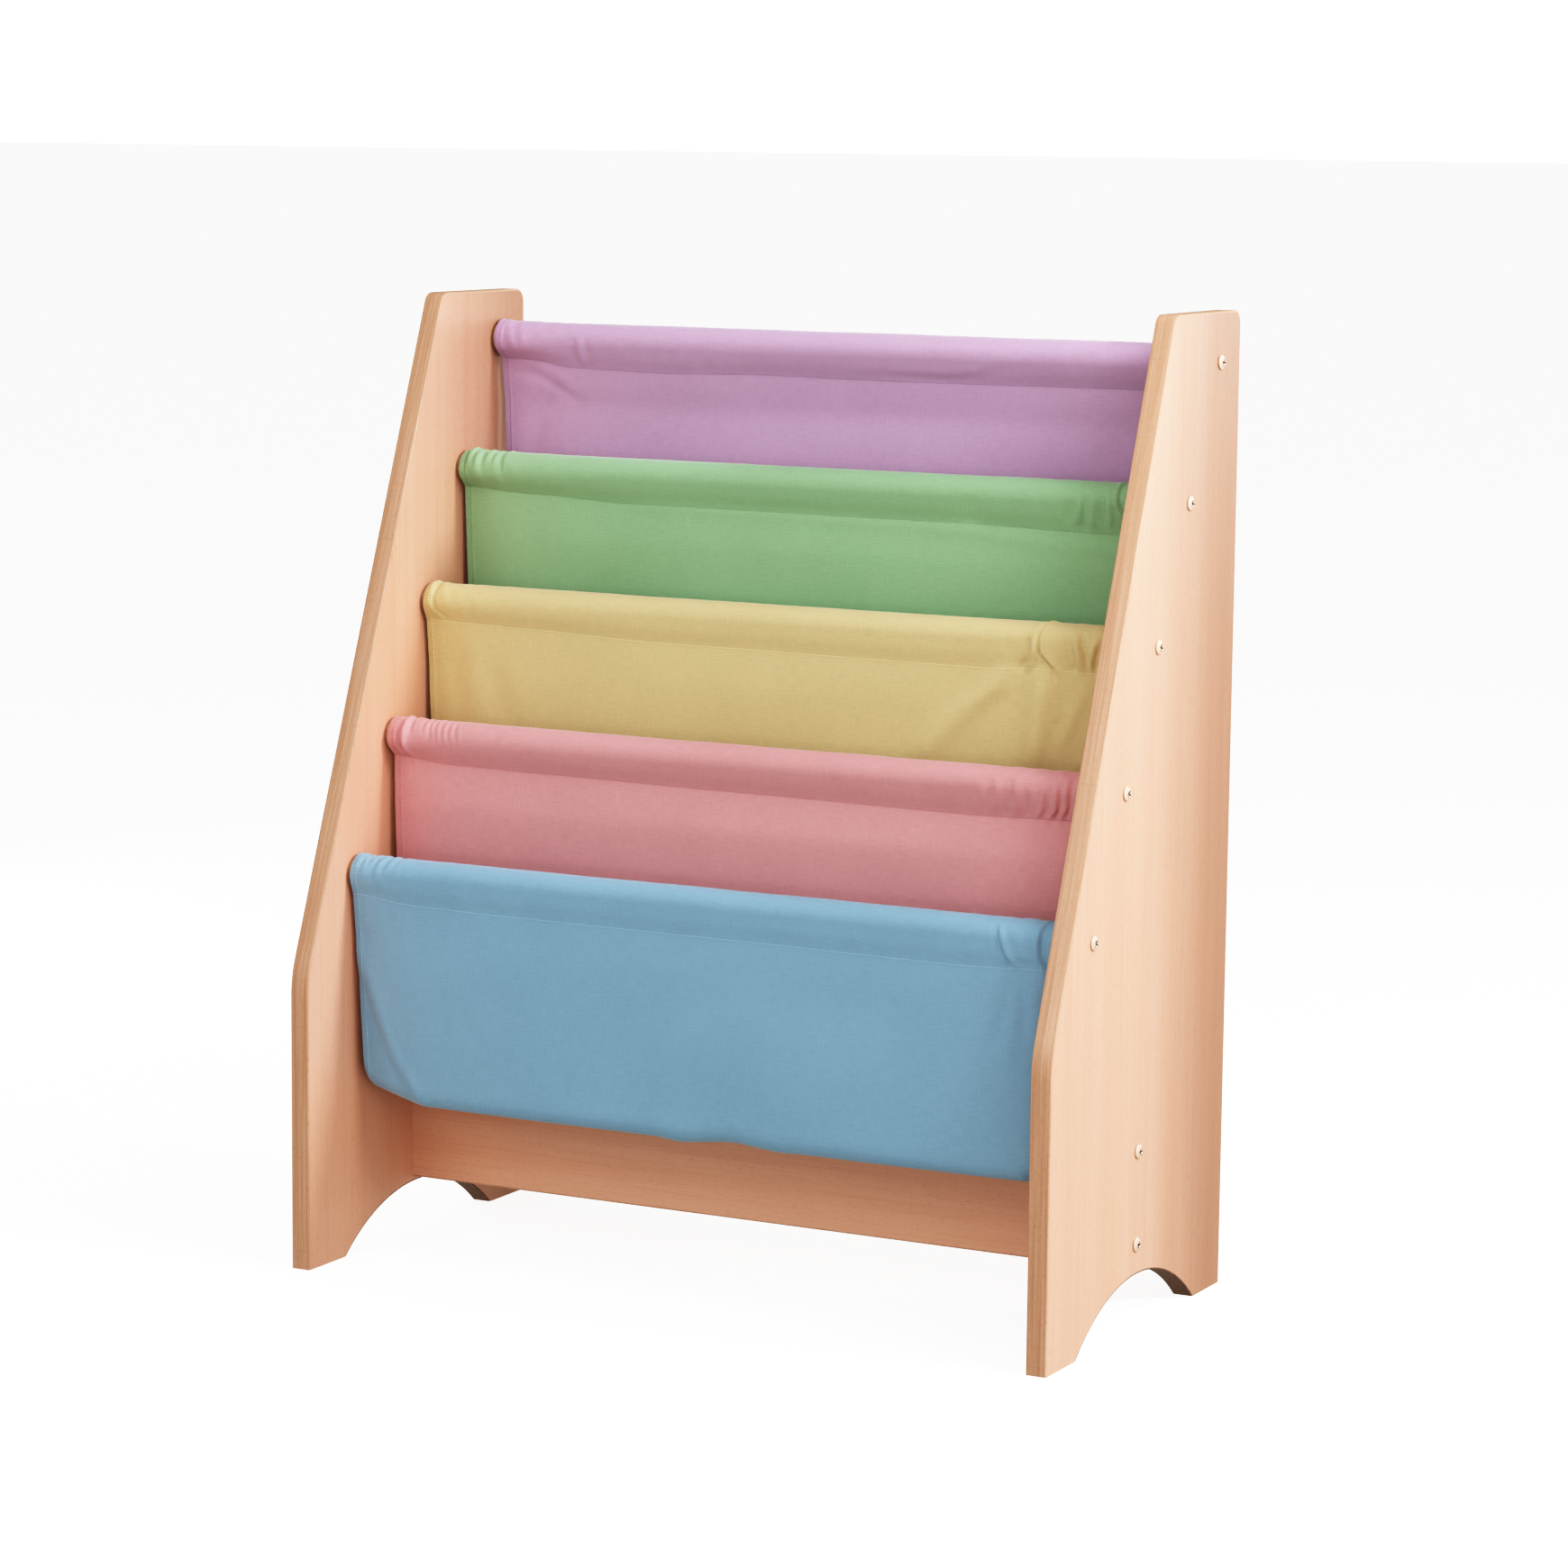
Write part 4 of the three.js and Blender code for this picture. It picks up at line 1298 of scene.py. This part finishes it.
def beside_edge(values, inset):
    """The cloth's places or normals all the way down a line that lies inset from its left edge."""
    number = np.searchsorted(from_left, inset)
    left, right = from_left[number - 1], from_left[number]
    share = (inset - left) / (right - left)
    return values[:, number - 1] * (1 - share) + values[:, number] * share


def stitch_row(form, places, normals, thickness):
    """Threads along a line on the cloth's outer face, each a slim bead pressed into it."""
    steps = np.linalg.norm(np.diff(places, axis=0), axis=-1)
    run = np.concatenate([[0], np.cumsum(steps)])

    def read(values, at):
        return Vector([np.interp(at, run, values[:, axis]) for axis in range(3)])

    for middle in np.arange(stitch_pitch, run[-1] - stitch_pitch, stitch_pitch):
        normal = read(normals, middle).normalized()
        along = read(places, middle + stitch_length / 2) - read(places, middle - stitch_length / 2)
        side = normal.cross(along).normalized()
        turned = Matrix((side.cross(normal), side, normal)).transposed().to_4x4()
        size = Matrix.Diagonal((stitch_length / 2, stitch_thickness / 2, stitch_thickness / 2, 1))
        lifted = Matrix.Translation(read(places, middle) + normal * (thickness / 2 + stitch_lift))
        bmesh.ops.create_icosphere(form, subdivisions=1, radius=1, matrix=lifted @ turned @ size)


def stitched(places, kinds, dowel):
    """The stitches along both ends of the tunnel and down both side hems, on the outer face."""
    normals = np.cross(np.gradient(places, axis=1), np.gradient(places, axis=0))
    normals /= np.linalg.norm(normals, axis=-1, keepdims=True)
    first, last = np.flatnonzero(kinds == "tunnel")[[0, -1]]
    top = (first + last) // 2
    outer = normals * np.sign(((places[top] - np.array(dowel)) * normals[top]).sum())
    form = bmesh.new()
    for row in (first - 1, last):
        stitch_row(form, places[row], outer[row], cloth)
    for inset in (hem_stitch_inset, 2 * half_width - hem_stitch_inset):
        edge, face = beside_edge(places, inset), beside_edge(outer, inset)
        stitch_row(form, edge, face, hem_share * cloth)
    return form


for index, panel in enumerate(sling_panels):
    name = panel["name"]
    dowel = dowels[index]
    parts, kinds = [], []
    for kind, line, ends in courses_of(index):
        part = rows_along(line, tunnel_pitches if kind == "tunnel" else wall_pitches, ends)
        parts.append(part[1:] if parts else part)
        kinds += [kind] * len(parts[-1])
    side_view = np.concatenate(parts)
    kinds = np.array(kinds)
    run = run_down(side_view)[:, columns // 2]

    drops = eased(panel["stitch_drops"], from_left)
    depths = -side_view[..., 1]
    drawn = draw_in * smooth_share(depths, drops, pocket_drop)
    drawn = drawn + panel["neck"] * smooth_share(depths, draw_in_start, drops)
    back, up = hung(panel, index, side_view, kinds)
    places = np.stack([shares * (half_width - drawn), back + dowel.y, up + dowel.z], axis=-1)

    weave = canvas(f"{name}_canvas", panel["colour"])
    sheet = finished(f"{name}_cloth", cloth_form(places, run), weave, [name])
    sheet.vertex_groups.new(name="side_hem")
    body = sheet.modifiers.new("body", "SOLIDIFY")
    body.thickness = hem_share * cloth
    body.offset = 0
    body.vertex_group = "side_hem"
    body.thickness_vertex_group = 1 / hem_share

    # Thread colour, with painted shade of the needle holes where it is dark
    thread_and_hole_shade, _, _ = surface(
        f"{name}_thread", thread_roughness, Base_Color=panel["thread_and_hole_shade"], Sheen_Weight=thread_sheen,
    )
    stitches = stitched(places, kinds, dowel)
    seams = finished(f"{name}_stitches", stitches, thread_and_hole_shade, (), thread_crisp_angle)
